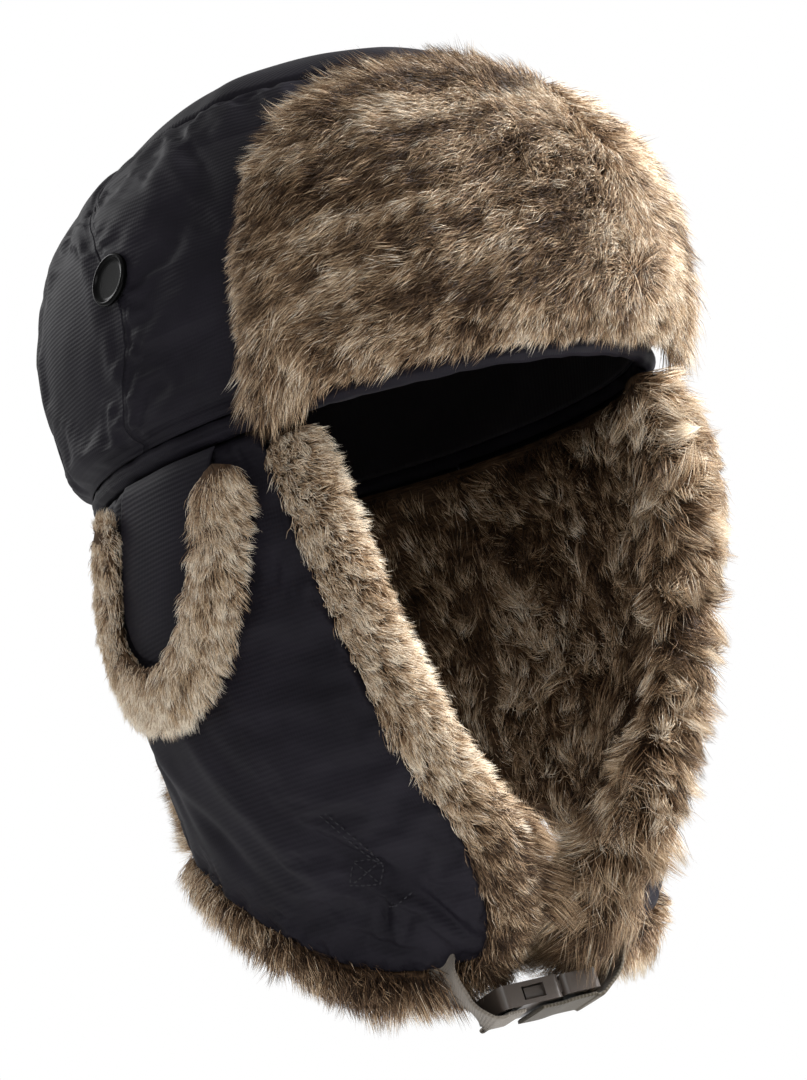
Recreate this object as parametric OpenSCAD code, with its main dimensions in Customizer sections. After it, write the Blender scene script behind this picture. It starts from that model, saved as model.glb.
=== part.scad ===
// Trapper hat: quilted crown, fur forehead flap, ear flaps with ear ports, chin strap.
// Front of the hat faces -Y, the wearer's left is +X, the hem of the crown lies at z = 0.

/* [Crown] */
// Half width of the crown at the hem
crown_rx = 99; // [88:1:108]
// Half depth of the crown at the hem, from the middle to the brow
crown_front = 112; // [102:1:122]
// Half depth of the crown at the hem, from the middle to the nape
crown_back = 127; // [112:1:132]
// Height of the crown above the hem
crown_h = 134; // [120:1:150]
// How much the crown swells above the hem
crown_swell = 0.12; // [0:0.01:0.14]

/* [Cloth] */
// Thickness of the shell cloth
shell_t = 1.2; // [0.8:0.1:2]
// Thickness of the wadding
wadding_t = 3.6; // [2:0.2:5]
// Thickness of the quilted lining
lining_t = 2.4; // [1.5:0.1:4]
// Free space left between layers
layer_gap = 0.35; // [0.25:0.05:0.5]
// Thickness of the fur with its backing
fur_t = 10; // [6:0.5:14]
// Radius of the rolled hem
hem_r = 2.6; // [2:0.1:4]

/* [Skirt] */
// Drop of the skirt at the nape
nape_drop = 115; // [95:1:120]
// Drop of the ear flaps at the chin
chin_drop = 190; // [180:1:205]
// How far behind the middle of the hat the ear flaps end and the neck curtain starts
curtain_y = 80; // [70:1:90]
// How far the strap draws the left flap in for each mm that it hangs down
far_pull = 0.085; // [0:0.005:0.1]
// Width of the fur along the front edge of an ear flap
edge_w = 21; // [14:1:24]
// Width of the fur along the lower edge
low_w = 12; // [8:1:16]

/* [Forehead flap] */
// Half angle that the forehead flap spans
brow_half_angle = 49; // [44:1:56]
// How far up the crown the forehead flap reaches
brow_reach = 0.56; // [0.5:0.01:0.64]

/* [Ear port flap] */
// Half width of the port flap's cloth
port_half_w = 31; // [28:1:38]
// Length of the port flap's cloth
port_len = 53; // [48:1:60]
// Width of the fur border on the port flap
port_fur_w = 22; // [14:1:24]

/* [Button] */
// Radius of the side button
button_r = 9.5; // [7:0.1:11]
// Height of the side button above the hem
button_z = 64; // [56:1:72]
// Angle of the side button and the side seam round the crown, from the wearer's left
button_a = 195; // [184:1:198]

/* [Strap and buckle] */
// Width of the chin strap
strap_w = 20; // [16:1:22]
// Thickness of the chin strap
strap_t = 1.6; // [1:0.1:2]
// Length of the buckle socket
socket_len = 24; // [22:1:28]
// Thickness of the buckle
buckle_t = 8; // [7:0.5:10]
// Wall of the buckle socket
buckle_wall = 1.6; // [1.2:0.1:2]
// Free space round the plug in the socket
buckle_gap = 0.4; // [0.3:0.05:0.6]

/* [Hidden] */

shell_c = [0.12, 0.11, 0.14];
fur_c = [0.58, 0.48, 0.38];
wadding_c = [0.85, 0.84, 0.8];
lining_c = [0.1, 0.1, 0.12];
web_c = [0.36, 0.33, 0.28];
plastic_c = [0.14, 0.12, 0.1];

// Depths of the layers below the outer face, outer face first.
shell_in = -shell_t;
wadding_out = shell_in - layer_gap;
wadding_in = wadding_out - wadding_t;
lining_out = wadding_in - layer_gap;
lining_in = lining_out - lining_t;
band_out = lining_in - layer_gap;
band_in = band_out - 1.2;
skirt_fur_in = lining_out - fur_t;

function lerp(a, b, t) = a + (b - a) * t;
function unit(v) = v / norm(v);

// A smooth curve through the points of a list, for t from 0 to 1.
function spline(p, t) =
  let (n = len(p) - 1, s = min(max(t, 0), 1) * n, i = min(floor(s), n - 1), f = s - i,
    a = p[max(i - 1, 0)], b = p[i], c = p[i + 1], d = p[min(i + 2, n)])
  0.5 * (2 * b + (c - a) * f + (2 * a - 5 * b + 4 * c - d) * f * f
    + (3 * b - a - 3 * c + d) * f * f * f);

// ---------- surfaces ----------

// A point of the crown: a is the angle round it, u runs from the hem to the top.
function crown_pt(a, u, off) =
  let (side = pow(cos(90 * u), 0.54), swell = 1 + crown_swell * sin(180 * min(u * 1.9, 1)),
    ry = sin(a) > 0 ? crown_back : crown_front)
  [(crown_rx + off) * side * swell * cos(a), (ry + off) * side * swell * sin(a),
    (crown_h + off) * pow(sin(90 * u), 0.95)];

// The share u at which the crown's outer face reaches the height z.
function crown_u(z) = asin(pow(z / crown_h, 1 / 0.95)) / 90;

skirt_top = -1.5;
// The lower edge of the skirt from the nape to the chin, and its front edge from brow to chin.
low_edge = [[0, 114, -nape_drop], [-42, 106, -nape_drop - 2], [-72, 78, -nape_drop - 9],
  [-84, 42, -140], [-81, 8, -164], [-70, -17, -182], [-53, -34, -chin_drop],
  [-31, -46, -chin_drop]];
front_edge = [[-79, -66, skirt_top], [-79, -77, -40], [-73, -79, -80], [-62, -80, -120],
  [-47, -77, -150], [-36, -63, -174], [-31, -46, -chin_drop]];
skirt_front_a = 216;

function hem_pt(t) =
  let (a = lerp(90, skirt_front_a, t))
  [crown_rx * cos(a), (sin(a) > 0 ? crown_back : crown_front) * sin(a), skirt_top];
function nape_pt(v) = [0, lerp(crown_back, 114, v) + 5 * sin(180 * v), lerp(skirt_top, -nape_drop, v)];
function skirt_mid(t, v) =
  let (top = hem_pt(t), low = spline(low_edge, t), back = nape_pt(v), front = spline(front_edge, v))
  lerp(top, low, v) + lerp(back, front, t)
    - lerp(lerp(nape_pt(0), hem_pt(1), t), lerp(nape_pt(1), spline(low_edge, 1), t), v)
    + [-6 * sin(180 * v) * sin(180 * min(t, 1)), 0, 0];

// The skirt's own outward direction at (t, v).
function skirt_out(t, v) =
  let (h = 0.01, t0 = max(t - h, 0), t1 = min(t + h, 1), v0 = max(v - h, 0), v1 = min(v + h, 1))
  unit(cross(skirt_mid(t, v1) - skirt_mid(t, v0), skirt_mid(t1, v) - skirt_mid(t0, v)));
// Points at negative t lie on the wearer's left, mirrored.
function skirt_pt(t, v, off) =
  let (p = skirt_mid(abs(t), v) + skirt_out(abs(t), v) * off)
  [t < 0 ? -p[0] : t == 0 ? 0 : p[0], p[1], p[2]];

// ---------- solids from grids of points ----------

// A closed slab between two grids of the same size, front first.
module slab(front, back) {
  rows = len(front);
  cols = len(front[0]);
  n = rows * cols;
  function at(r, c) = r * cols + c;
  pts = [for (g = [front, back]) for (row = g) each row];
  faces = [
    for (r = [0:rows - 2]) for (c = [0:cols - 2]) each [
      [at(r, c), at(r, c + 1), at(r + 1, c + 1)], [at(r, c), at(r + 1, c + 1), at(r + 1, c)],
      [n + at(r, c), n + at(r + 1, c + 1), n + at(r, c + 1)],
      [n + at(r, c), n + at(r + 1, c), n + at(r + 1, c + 1)]],
    for (c = [0:cols - 2]) each [
      [at(0, c), n + at(0, c), n + at(0, c + 1)], [at(0, c), n + at(0, c + 1), at(0, c + 1)],
      [at(rows - 1, c), n + at(rows - 1, c + 1), n + at(rows - 1, c)],
      [at(rows - 1, c), at(rows - 1, c + 1), n + at(rows - 1, c + 1)]],
    for (r = [0:rows - 2]) each [
      [at(r, 0), n + at(r + 1, 0), n + at(r, 0)], [at(r, 0), at(r + 1, 0), n + at(r + 1, 0)],
      [at(r, cols - 1), n + at(r, cols - 1), n + at(r + 1, cols - 1)],
      [at(r, cols - 1), n + at(r + 1, cols - 1), at(r + 1, cols - 1)]]];
  polyhedron(pts, faces, convexity = 8);
}

// A closed cap or dome: rings of points round Z for the outside and the inside, and their tops.
module dome(outer, inner, outer_top, inner_top) {
  rows = len(outer);
  cols = len(outer[0]);
  n = rows * cols;
  function at(r, c) = r * cols + (c % cols);
  pts = concat([for (g = [outer, inner]) for (row = g) each row], [outer_top, inner_top]);
  faces = [
    for (r = [0:rows - 2]) for (c = [0:cols - 1]) each [
      [at(r, c), at(r + 1, c + 1), at(r, c + 1)], [at(r, c), at(r + 1, c), at(r + 1, c + 1)],
      [n + at(r, c), n + at(r, c + 1), n + at(r + 1, c + 1)],
      [n + at(r, c), n + at(r + 1, c + 1), n + at(r + 1, c)]],
    for (c = [0:cols - 1]) each [
      [at(0, c), at(0, c + 1), n + at(0, c + 1)], [at(0, c), n + at(0, c + 1), n + at(0, c)],
      [at(rows - 1, c), 2 * n, at(rows - 1, c + 1)],
      [n + at(rows - 1, c), n + at(rows - 1, c + 1), 2 * n + 1]]];
  polyhedron(pts, faces, convexity = 8);
}

// A closed tube through rings of points; loop joins the last ring to the first.
module tube(rings, loop = false) {
  rows = len(rings);
  cols = len(rings[0]);
  last = loop ? rows - 1 : rows - 2;
  function at(r, c) = (r % rows) * cols + (c % cols);
  faces = [
    for (r = [0:last]) for (c = [0:cols - 1]) each [
      [at(r, c), at(r, c + 1), at(r + 1, c + 1)], [at(r, c), at(r + 1, c + 1), at(r + 1, c)]],
    if (!loop) for (c = [1:cols - 2]) each [
      [at(0, 0), at(0, c + 1), at(0, c)],
      [at(rows - 1, 0), at(rows - 1, c), at(rows - 1, c + 1)]]];
  polyhedron([for (ring = rings) each ring], faces, convexity = 8);
}

// An oval ring of n points round p, with half sizes rw along side and rt along up.
function oval(p, side, up, rw, rt, n = 8) =
  [for (i = [0:n - 1]) p + side * rw * cos(360 * i / n) + up * rt * sin(360 * i / n)];

// ---------- crown ----------

top_u = 0.7;
seam_gap_a = 0.25;
hem_u = crown_u(2 * hem_r + 0.6);
// The heights at which every layer of the crown has a ring of points, and the angle between points.
side_us = [for (i = [0:8]) lerp(hem_u, top_u, i / 8)];
top_us = [0.78, 0.88, 0.97];
step_a = 7.5;
function crown_ring(u, off) = [for (a = [0:step_a:359]) crown_pt(a, u, off)];
function crown_grid(as, us, off) = [for (u = us) [for (a = as) crown_pt(a, u, off)]];

module crown_panel(a0, a1) {
  as = concat([a0 + seam_gap_a], [for (a = [step_a * ceil((a0 + 1) / step_a):step_a:a1 - 1]) a],
    [a1 - seam_gap_a]);
  us = [for (i = [8:-1:0]) side_us[i]];
  color(shell_c) slab(crown_grid(as, us, 0), crown_grid(as, us, -shell_t));
}
module crown_dome(us, off_a, off_b) {
  dome([for (u = us) crown_ring(u, off_a)], [for (u = us) crown_ring(u, off_b)],
    [0, 0, crown_h + off_a], [0, 0, crown_h + off_b]);
}
module crown_top() {
  color(shell_c) crown_dome(concat([top_u + 0.004], top_us), 0, -shell_t);
}
module sweatband() {
  outer = [for (i = [0:2]) crown_ring(side_us[i], band_out)];
  inner = [for (i = [0:2]) crown_ring(side_us[i], band_in)];
  color("dimgray")
    tube([for (c = [0:len(outer[0]) - 1])
      concat([for (r = [0:2]) outer[r][c]], [for (r = [2:-1:0]) inner[r][c]])], loop = true);
}
module size_label() {
  as = [85, 90, 95];
  us = [crown_u(72), crown_u(62), crown_u(52)];
  color("black") slab(crown_grid(as, us, band_out - 0.6), crown_grid(as, us, band_out - 1.1));
}
module crown_wadding() {
  color(wadding_c) crown_dome(concat(side_us, top_us), wadding_out, wadding_in);
}
module crown_lining() {
  color(lining_c) crown_dome(concat(side_us, top_us), lining_out, lining_in);
}
module hem_roll() {
  color(shell_c)
    tube([for (c = [0:63])
      let (p = crown_pt(c * 360 / 64, 0, -hem_r), out = unit([p[0], p[1], 0]))
      oval(p + [0, 0, hem_r], out, [0, 0, 1], hem_r, hem_r)], loop = true);
}

// Frame that stands on the crown at the button, with Z pointing out of the cloth.
button_u = crown_u(button_z);
button_at = crown_pt(button_a, button_u, 0);
button_out = unit(cross(crown_pt(button_a + 1, button_u, 0) - crown_pt(button_a - 1, button_u, 0),
  crown_pt(button_a, button_u + 0.01, 0) - crown_pt(button_a, button_u - 0.01, 0)));
module on_button(side) {
  mirror([side > 0 ? 1 : 0, 0, 0]) translate(button_at)
    rotate([0, acos(button_out[2]), atan2(button_out[1], button_out[0])]) children();
}
module side_button(side) {
  color("black") on_button(side) translate([0, 0, 0.9]) rotate_extrude($fn = 48)
    polygon([[0, 0], [button_r - 0.6, 0], [button_r, 0.8], [button_r, 2.6], [button_r - 1, 3.4],
      [button_r - 2.2, 2.2], [0, 2.2]]);
}
module button_back(side) {
  color("black") on_button(side) translate([0, 0, 1.15 * lining_in - 2])
    cylinder(r = 5, h = 1, $fn = 32);
}

// ---------- skirt ----------

function skirt_grid(t0, t1, v0, v1, off, cols, rows) =
  [for (r = [0:rows]) [for (c = [0:cols]) skirt_pt(lerp(t0, t1, c / cols), lerp(v0, v1, r / rows), off)]];
edge_gap_v = 0.004;
front_gap_t = 0.003;
split_gap = 0.4;

// Draws a piece of the right flap, or its mirror image, which the strap draws in towards the chin.
module on_side(side) {
  multmatrix([[1, 0, side > 0 ? far_pull : 0, 0], [0, 1, 0, 0], [0, 0, 1, 0]])
    mirror([side > 0 ? 1 : 0, 0, 0]) children();
}

// Keeps what lies ahead of the split between ear flaps and neck curtain, or behind it.
module ahead() {
  intersection() {
    children();
    translate([-200, curtain_y - split_gap - 300, -300]) cube([400, 300, 400]);
  }
}
module behind() {
  intersection() {
    children();
    translate([-200, curtain_y + split_gap, -300]) cube([400, 300, 400]);
  }
}

module ear_layer(side, off_a, off_b, cols = 16, rows = 12) {
  on_side(side) ahead()
    slab(skirt_grid(0.2, 1 - front_gap_t, 0.002, 1 - edge_gap_v, off_a, cols, rows),
      skirt_grid(0.2, 1 - front_gap_t, 0.002, 1 - edge_gap_v, off_b, cols, rows));
}
module ear_shell(side) { color(shell_c) ear_layer(side, 0, shell_in); }
module ear_wadding(side) { color(wadding_c) ear_layer(side, wadding_out, wadding_in); }
module ear_fur(side) { color(fur_c) ear_layer(side, lining_out, skirt_fur_in); }

// A soft bar of oval section along a path, with its flat way square to ups. rws lists its half widths.
module bar(path, ups, rws, rt, n = 8) {
  last = len(path) - 1;
  tube([for (i = [0:last])
    let (d = unit(path[min(i + 1, last)] - path[max(i - 1, 0)]), side = unit(cross(d, ups[i])))
    oval(path[i], side, unit(cross(side, d)), rws[i], rt, n)]);
}

// The fur edge stands just outside the cut edge of the skirt, over its whole thickness.
edge_mid = skirt_fur_in / 2;
edge_rt = 8;
edge_off = edge_w / 2 + 0.5;
low_off = low_w / 2 + 0.5;
function along_t(t, v) =
  let (h = 0.01) unit(skirt_mid(min(t + h, 1), v) - skirt_mid(min(t + h, 1) - h, v));
function along_v(t, v) = let (h = 0.01) unit(skirt_mid(t, v) - skirt_mid(t, v - h));
function front_bar_pt(v) =
  skirt_pt(1, v, edge_mid) + along_t(1, v) * lerp(edge_off, lerp(edge_off, low_off, 0.7), pow(v, 3));
function low_bar_pt(t) =
  let (p = skirt_pt(t, 1, edge_mid), d = along_v(abs(t), 1))
  p + [t < 0 ? -d[0] : t == 0 ? 0 : d[0], d[1], d[2]] * low_off;
function low_bar_up(t) =
  let (o = skirt_out(abs(t), 1)) [t < 0 ? -o[0] : t == 0 ? 0 : o[0], o[1], o[2]];

module ear_edge(side) {
  vs = [for (i = [0:12]) lerp(0.05, 0.93, i / 12)];
  ts = [for (i = [0:13]) lerp(0.92, 0.2, i / 13)];
  tip = skirt_pt(1, 1, edge_mid) + unit(along_t(1, 1) + along_v(1, 1)) * low_off * 1.3;
  rws = concat([for (i = [0:12]) lerp(edge_w, lerp(edge_w, low_w, 0.7), pow(i / 12, 3)) / 2],
    [low_w * 0.55], [for (t = ts) low_w / 2]);
  path = concat([for (v = vs) front_bar_pt(v)], [tip], [for (t = ts) low_bar_pt(t)]);
  ups = concat([for (v = vs) skirt_out(1, v)], [skirt_out(1, 1)], [for (t = ts) skirt_out(t, 1)]);
  color(fur_c) on_side(side) ahead() bar(path, ups, rws, edge_rt);
}

module curtain_layer(off_a, off_b) {
  behind() slab(skirt_grid(-0.48, 0.48, 0.002, 1 - edge_gap_v, off_a, 26, 6),
    skirt_grid(-0.48, 0.48, 0.002, 1 - edge_gap_v, off_b, 26, 6));
}
module curtain_edge() {
  ts = [for (i = [0:24]) lerp(-0.46, 0.46, i / 24)];
  color(fur_c) behind() bar([for (t = ts) low_bar_pt(t)], [for (t = ts) low_bar_up(t)],
    [for (t = ts) low_w / 2], edge_rt);
}

// ---------- forehead flap ----------

// p runs across the flap from -1 to 1, q from its lower edge up.
brow_u0 = crown_u(2 * hem_r + 1.4);
function brow_pt(p, q, off) =
  crown_pt(270 + brow_half_angle * p * (1 - 0.12 * q * q),
    lerp(brow_u0, brow_reach * (1 - 0.42 * pow(abs(p), 3)), q), off);
// thin is how much less the offset grows at the flap's top edge.
function brow_grid(off, thin = 0) =
  [for (r = [0:10]) [for (c = [0:20])
    brow_pt(lerp(-1, 1, c / 20), 1 - r / 10, off - thin * pow(1 - r / 10, 3))]];
brow_off = 1.4;
brow_t = 1.8;
module forehead_backing() {
  color(shell_c) slab(brow_grid(brow_off + brow_t), brow_grid(brow_off));
}
module forehead_fur() {
  color(fur_c) slab(brow_grid(brow_off + brow_t + layer_gap + fur_t + 2, 5),
    brow_grid(brow_off + brow_t + layer_gap));
}

// ---------- ear port flap ----------

hem_arc = 262;
side_drop = 168;
port_t = (193 - 90) / (skirt_front_a - 90);
port_off = 2.6;
port_cloth_t = 2;
port_round = port_len - 24;
port_fur_rt = 4.6;
// A point of the port flap: s forward along the hem and d down it, in mm.
// It leans back as it goes down, by port_lean.
port_lean = 0.9;
function port_pt(s, d, off) =
  skirt_pt(port_t + (s - port_lean * d) / hem_arc, 0.012 + d / side_drop, off);
function port_out(s, d) = skirt_out(port_t + (s - port_lean * d) / hem_arc, 0.012 + d / side_drop);
function port_end(p) = port_round + (port_len - port_round) * sqrt(1 - p * p);
function port_grid(off) =
  [for (r = [0:6]) [for (c = [0:12])
    let (p = 0.985 * lerp(-1, 1, c / 12)) port_pt(port_half_w * p, port_end(p) * r / 6, off)]];
module port_shell(side) {
  color(shell_c) on_side(side)
    slab(port_grid(port_off + port_cloth_t), port_grid(port_off));
}
module port_fur(side) {
  hw = port_half_w + port_fur_w / 2 + 0.4;
  hl = port_len - port_round + port_fur_w / 2 + 0.4;
  plan = concat([for (i = [0:2]) [-hw, lerp(3, port_round, i / 3)]],
    [for (i = [0:12]) let (f = 180 - 15 * i) [hw * cos(f), port_round + hl * sin(f)]],
    [for (i = [2:-1:0]) [hw, lerp(3, port_round, i / 3)]]);
  color(fur_c) on_side(side)
    bar([for (q = plan) port_pt(q[0], q[1], port_off + port_fur_rt - 0.6)],
      [for (q = plan) port_out(q[0], q[1])], [for (q = plan) port_fur_w / 2], port_fur_rt);
}
// Elastic loop under the tip of the port flap.
loop_r = 0.7;
module port_loop(side) {
  plan = [for (i = [0:19]) [5 * cos(18 * i), port_len - 6 + 9 * sin(18 * i)]];
  path = [for (q = plan) port_pt(q[0], q[1], port_off - loop_r - 0.5)];
  color("black") on_side(side)
    tube([for (i = [0:19])
      let (d = unit(path[(i + 1) % 20] - path[(i + 19) % 20]), up = port_out(plan[i][0], plan[i][1]))
      oval(path[i], unit(cross(d, up)), up, loop_r, loop_r, 6)], loop = true);
}

// ---------- chin strap and buckle ----------

// The buckle's own frame: X across the chin, Z out of its lower face.
buckle_at = [-16, -46, -chin_drop - 17];
buckle_tilt = 172;
buckle_hw = strap_w / 2 + buckle_wall;
mouth_x = 4;
socket_x0 = mouth_x - socket_len;
plug_x1 = 19;
module in_buckle() { translate(buckle_at) rotate([buckle_tilt, 0, 0]) children(); }
buckle_up = [0, -sin(buckle_tilt), cos(buckle_tilt)];

// A plate along X with rounded ends, from x0 to x1, hw to each side and t thick.
module plate(x0, x1, hw, t, r = 3) {
  linear_extrude(t, center = true) hull()
    for (x = [x0 + r, x1 - r], y = [-hw + r, hw - r]) translate([x, y]) circle(r, $fn = 32);
}
cavity_hw = buckle_hw - buckle_wall;
cavity_t = buckle_t - 2 * buckle_wall;
cavity_x0 = socket_x0 + 7;
arm_w = 3.4;
release_x = [cavity_x0 + 1.5, cavity_x0 + 10];
module buckle_socket() {
  color(plastic_c) in_buckle() difference() {
    plate(socket_x0, mouth_x, buckle_hw, buckle_t);
    translate([cavity_x0, -cavity_hw, -cavity_t / 2])
      cube([mouth_x - cavity_x0 + 1, 2 * cavity_hw, cavity_t]);
    for (s = [-1, 1])
      translate([release_x[0], s > 0 ? cavity_hw - 1 : -buckle_hw - 1, -cavity_t / 2])
        cube([release_x[1] - release_x[0], buckle_wall + 2, cavity_t]);
    translate([socket_x0 + 2.4, -strap_w / 2 - 0.3, -buckle_t]) cube([2.4, strap_w + 0.6, 2 * buckle_t]);
  }
}
module buckle_plug() {
  prong_t = cavity_t - 2 * buckle_gap;
  root_x = mouth_x + buckle_gap;
  reach_x = cavity_x0 + buckle_gap + 0.8;
  color(plastic_c) in_buckle() {
    difference() {
      plate(root_x, plug_x1, buckle_hw, buckle_t - 1, r = 2.5);
      translate([plug_x1 - 4.8, -strap_w / 2 - 0.3, -buckle_t]) cube([2.4, strap_w + 0.6, 2 * buckle_t]);
    }
    translate([reach_x + 1, -2, -prong_t / 2]) cube([root_x - reach_x + 1, 4, prong_t]);
    for (s = [-1, 1]) {
      y0 = s > 0 ? cavity_hw - buckle_gap - arm_w : -cavity_hw + buckle_gap;
      translate([reach_x + 2, y0, -prong_t / 2]) cube([root_x - reach_x, arm_w, prong_t]);
    }
  }
}

// The strap runs down the outside of the flap's tip, over the fur edge, and round the buckle's bar.
module chin_strap(side) {
  bar_x = side > 0 ? plug_x1 - 3.6 + buckle_at[0] - far_pull * buckle_at[2]
    : -socket_x0 - 3.6 - buckle_at[0];
  lift = buckle_t / 2 + strap_t / 2 + 0.5;
  function under(x) = [-x, buckle_at[1], buckle_at[2]] + buckle_up * lift;
  tip_out = skirt_out(1, 1);
  off_tip = skirt_pt(1, 1, 2.6) + unit(along_t(1, 1) + along_v(1, 1)) * 10;
  path = [skirt_pt(0.8, 0.86, 1.6), skirt_pt(0.86, 0.9, 1.6), skirt_pt(0.93, 0.95, 1.9),
    skirt_pt(1, 1, 2.4), off_tip, lerp(off_tip, under(bar_x + 4), 0.6) + [-1.5, 0, -1],
    under(bar_x + 1.5), under(bar_x - 1.5)];
  ups = [skirt_out(0.8, 0.86), skirt_out(0.86, 0.9), skirt_out(0.93, 0.95), tip_out,
    unit(tip_out * 2 + buckle_up), unit(tip_out + buckle_up), buckle_up, buckle_up];
  color(web_c) on_side(side)
    bar(path, ups, [for (p = path) strap_w / 2], strap_t / 2);
}

crown_panel(button_a, 540 - button_a);  // crown_front_panel
crown_panel(180 - button_a, button_a);  // crown_back_panel
crown_top();  // crown_top_panel
crown_wadding();
crown_lining();
sweatband();
size_label();
hem_roll();
side_button(-1);  // side_button_right
side_button(1);  // side_button_left
button_back(-1);  // button_back_right
button_back(1);  // button_back_left
color(shell_c) curtain_layer(0, shell_in);  // neck_curtain_shell
color(wadding_c) curtain_layer(wadding_out, wadding_in);  // neck_curtain_wadding
color(fur_c) curtain_layer(lining_out, skirt_fur_in);  // neck_curtain_fur
curtain_edge();  // neck_curtain_edge
forehead_backing();  // forehead_flap_backing
forehead_fur();  // forehead_flap_fur
ear_shell(-1);  // ear_flap_right_shell
ear_wadding(-1);  // ear_flap_right_wadding
ear_fur(-1);  // ear_flap_right_fur
ear_edge(-1);  // ear_flap_right_edge
ear_shell(1);  // ear_flap_left_shell
ear_wadding(1);  // ear_flap_left_wadding
ear_fur(1);  // ear_flap_left_fur
ear_edge(1);  // ear_flap_left_edge
port_shell(-1);  // port_flap_right_shell
port_fur(-1);  // port_flap_right_fur
port_loop(-1);  // port_flap_right_loop
port_shell(1);  // port_flap_left_shell
port_fur(1);  // port_flap_left_fur
port_loop(1);  // port_flap_left_loop
chin_strap(-1);  // chin_strap_right
chin_strap(1);  // chin_strap_left
buckle_socket();
buckle_plug();
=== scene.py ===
"""Looks of the trapper hat: cloth, fur, webbing and plastic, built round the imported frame."""
import math

import bpy
import numpy as np
from mathutils import Matrix, Vector
from mathutils.kdtree import KDTree


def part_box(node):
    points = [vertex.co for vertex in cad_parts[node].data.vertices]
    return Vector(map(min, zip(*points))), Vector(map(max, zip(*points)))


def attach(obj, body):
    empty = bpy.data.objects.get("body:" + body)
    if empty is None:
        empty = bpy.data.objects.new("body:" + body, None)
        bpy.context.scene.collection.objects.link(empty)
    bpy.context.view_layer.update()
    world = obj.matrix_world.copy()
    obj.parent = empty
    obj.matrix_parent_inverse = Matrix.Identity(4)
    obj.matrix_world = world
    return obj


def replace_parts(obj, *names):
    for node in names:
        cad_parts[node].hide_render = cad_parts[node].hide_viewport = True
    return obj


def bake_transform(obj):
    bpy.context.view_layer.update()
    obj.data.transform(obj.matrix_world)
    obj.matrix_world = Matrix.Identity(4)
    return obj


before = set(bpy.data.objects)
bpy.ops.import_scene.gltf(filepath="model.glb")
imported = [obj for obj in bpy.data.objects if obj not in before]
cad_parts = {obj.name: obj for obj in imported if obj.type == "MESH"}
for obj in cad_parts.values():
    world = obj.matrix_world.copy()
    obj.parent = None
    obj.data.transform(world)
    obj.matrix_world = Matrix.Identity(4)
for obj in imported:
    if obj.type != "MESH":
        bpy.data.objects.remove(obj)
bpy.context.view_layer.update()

MM = 0.001
PI = math.pi
DENSE = 1.0
# The wearer's right is at -X.
SIDES = ((-1, "right"), (1, "left"))

# Sizes of the hat in mm. The hem of the crown lies at z = 0, the face looks along -Y.
# The crown: half its width, its reach to the front and back, its height, and its shape.
RX, FRONT, BACK, TOP = 99.0, 112.0, 127.0, 134.0
SWELL, ROUND, RISE = 0.12, 0.54, 0.95
SHELL_T = 1.2
HEM_R = 2.6
# Heights up the crown, from 0 to 1: the side panels' top edge, the top seam and almost the middle.
PANEL_TOP, TOP_SEAM, CENTRE = 0.698, 0.7, 0.99999
# Half the gap in degrees between two panels at a side seam.
SEAM_GAP = 0.12
# Where the side button sits: its angle round the crown, its height and its radius.
BUTTON_A, BUTTON_Z, BUTTON_R = 195.0, 64.0, 9.5
# The skirt is what hangs from the hem: its top, the angle of its front end, and how low it comes.
SKIRT_TOP, SKIRT_FRONT, NAPE, CHIN = -1.5, 216.0, 115.0, 190.0
# The slit between ear flap and neck curtain, and how far the strap draws the left flap in.
SPLIT_Y, PULL = 80.0, 0.085
# Depths below the skirt's surface: the fur's backing, its under-fur, the roots of the hair inside, and
# the middle of the fur edges. EDGE_T is half the thickness of an ear flap's edge.
LINING_D, UNDER_D, ROOT_D, EDGE_D, CURTAIN_EDGE_D = -5.3, -9.5, -8.8, -6.0, -7.75
EDGE_T = 5.6
# How far the inside of the cloth and of the fur reaches up behind the hem roll, so that no light passes.
CLOTH_RISE, FUR_RISE = (0, 0, 3.2), (0, 0, 1.6)
# The forehead flap's half width in degrees, and how far up the crown it reaches.
BROW_HALF, BROW_REACH = 49.0, 0.56
# The ear port flap: half its width, its length, how it leans, its round end and its place on the skirt.
PORT_HALF, PORT_LEN, PORT_LEAN, PORT_END, PORT_SHIFT = 31.0, 53.0, 0.9, 24, 2.5
PORT_T, PORT_V = (193 - 90) / (SKIRT_FRONT - 90), 0.012
SKIRT_ARC, SKIRT_DROP = 262, 168
# Where the buckle hangs under the chin, and how it is tilted.
BUCKLE = np.array([-16.0, -46.0, -CHIN - 17.0])
BUCKLE_TILT = math.radians(172.0)


# ---------- numbers: noise, splines, normals ----------

def lattice(ix, iy, iz, seed):
    h = (ix.astype(np.int64) * 374761393 + iy.astype(np.int64) * 668265263
         + iz.astype(np.int64) * 2147483647 + seed * 974634777) & 0xFFFFFFFF
    h = ((h ^ (h >> 13)) * 1274126177) & 0xFFFFFFFF
    return ((h ^ (h >> 16)) & 0xFFFF) / 32767.5 - 1.0


def noise(p, seed=0):
    """Smooth noise from -1 to 1 at points of any last-axis-3 array, with features one unit wide."""
    p = np.asarray(p, float)
    i = np.floor(p).astype(np.int64)
    f = p - i
    w = f * f * (3 - 2 * f)
    out = 0
    for dx in (0, 1):
        for dy in (0, 1):
            for dz in (0, 1):
                k = (w[..., 0] if dx else 1 - w[..., 0]) * (w[..., 1] if dy else 1 - w[..., 1]) \
                    * (w[..., 2] if dz else 1 - w[..., 2])
                out = out + k * lattice(i[..., 0] + dx, i[..., 1] + dy, i[..., 2] + dz, seed)
    return out


def unit(v):
    v = np.asarray(v, float)
    return v / np.maximum(np.linalg.norm(v, axis=-1, keepdims=True), 1e-9)


def lerp(a, b, t):
    return a + (b - a) * t


def smooth(t):
    t = np.clip(t, 0, 1)
    return t * t * (3 - 2 * t)


def bell(x, width):
    """A soft ridge one unit high round x = 0."""
    return np.exp(-(x / width) ** 2)


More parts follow.
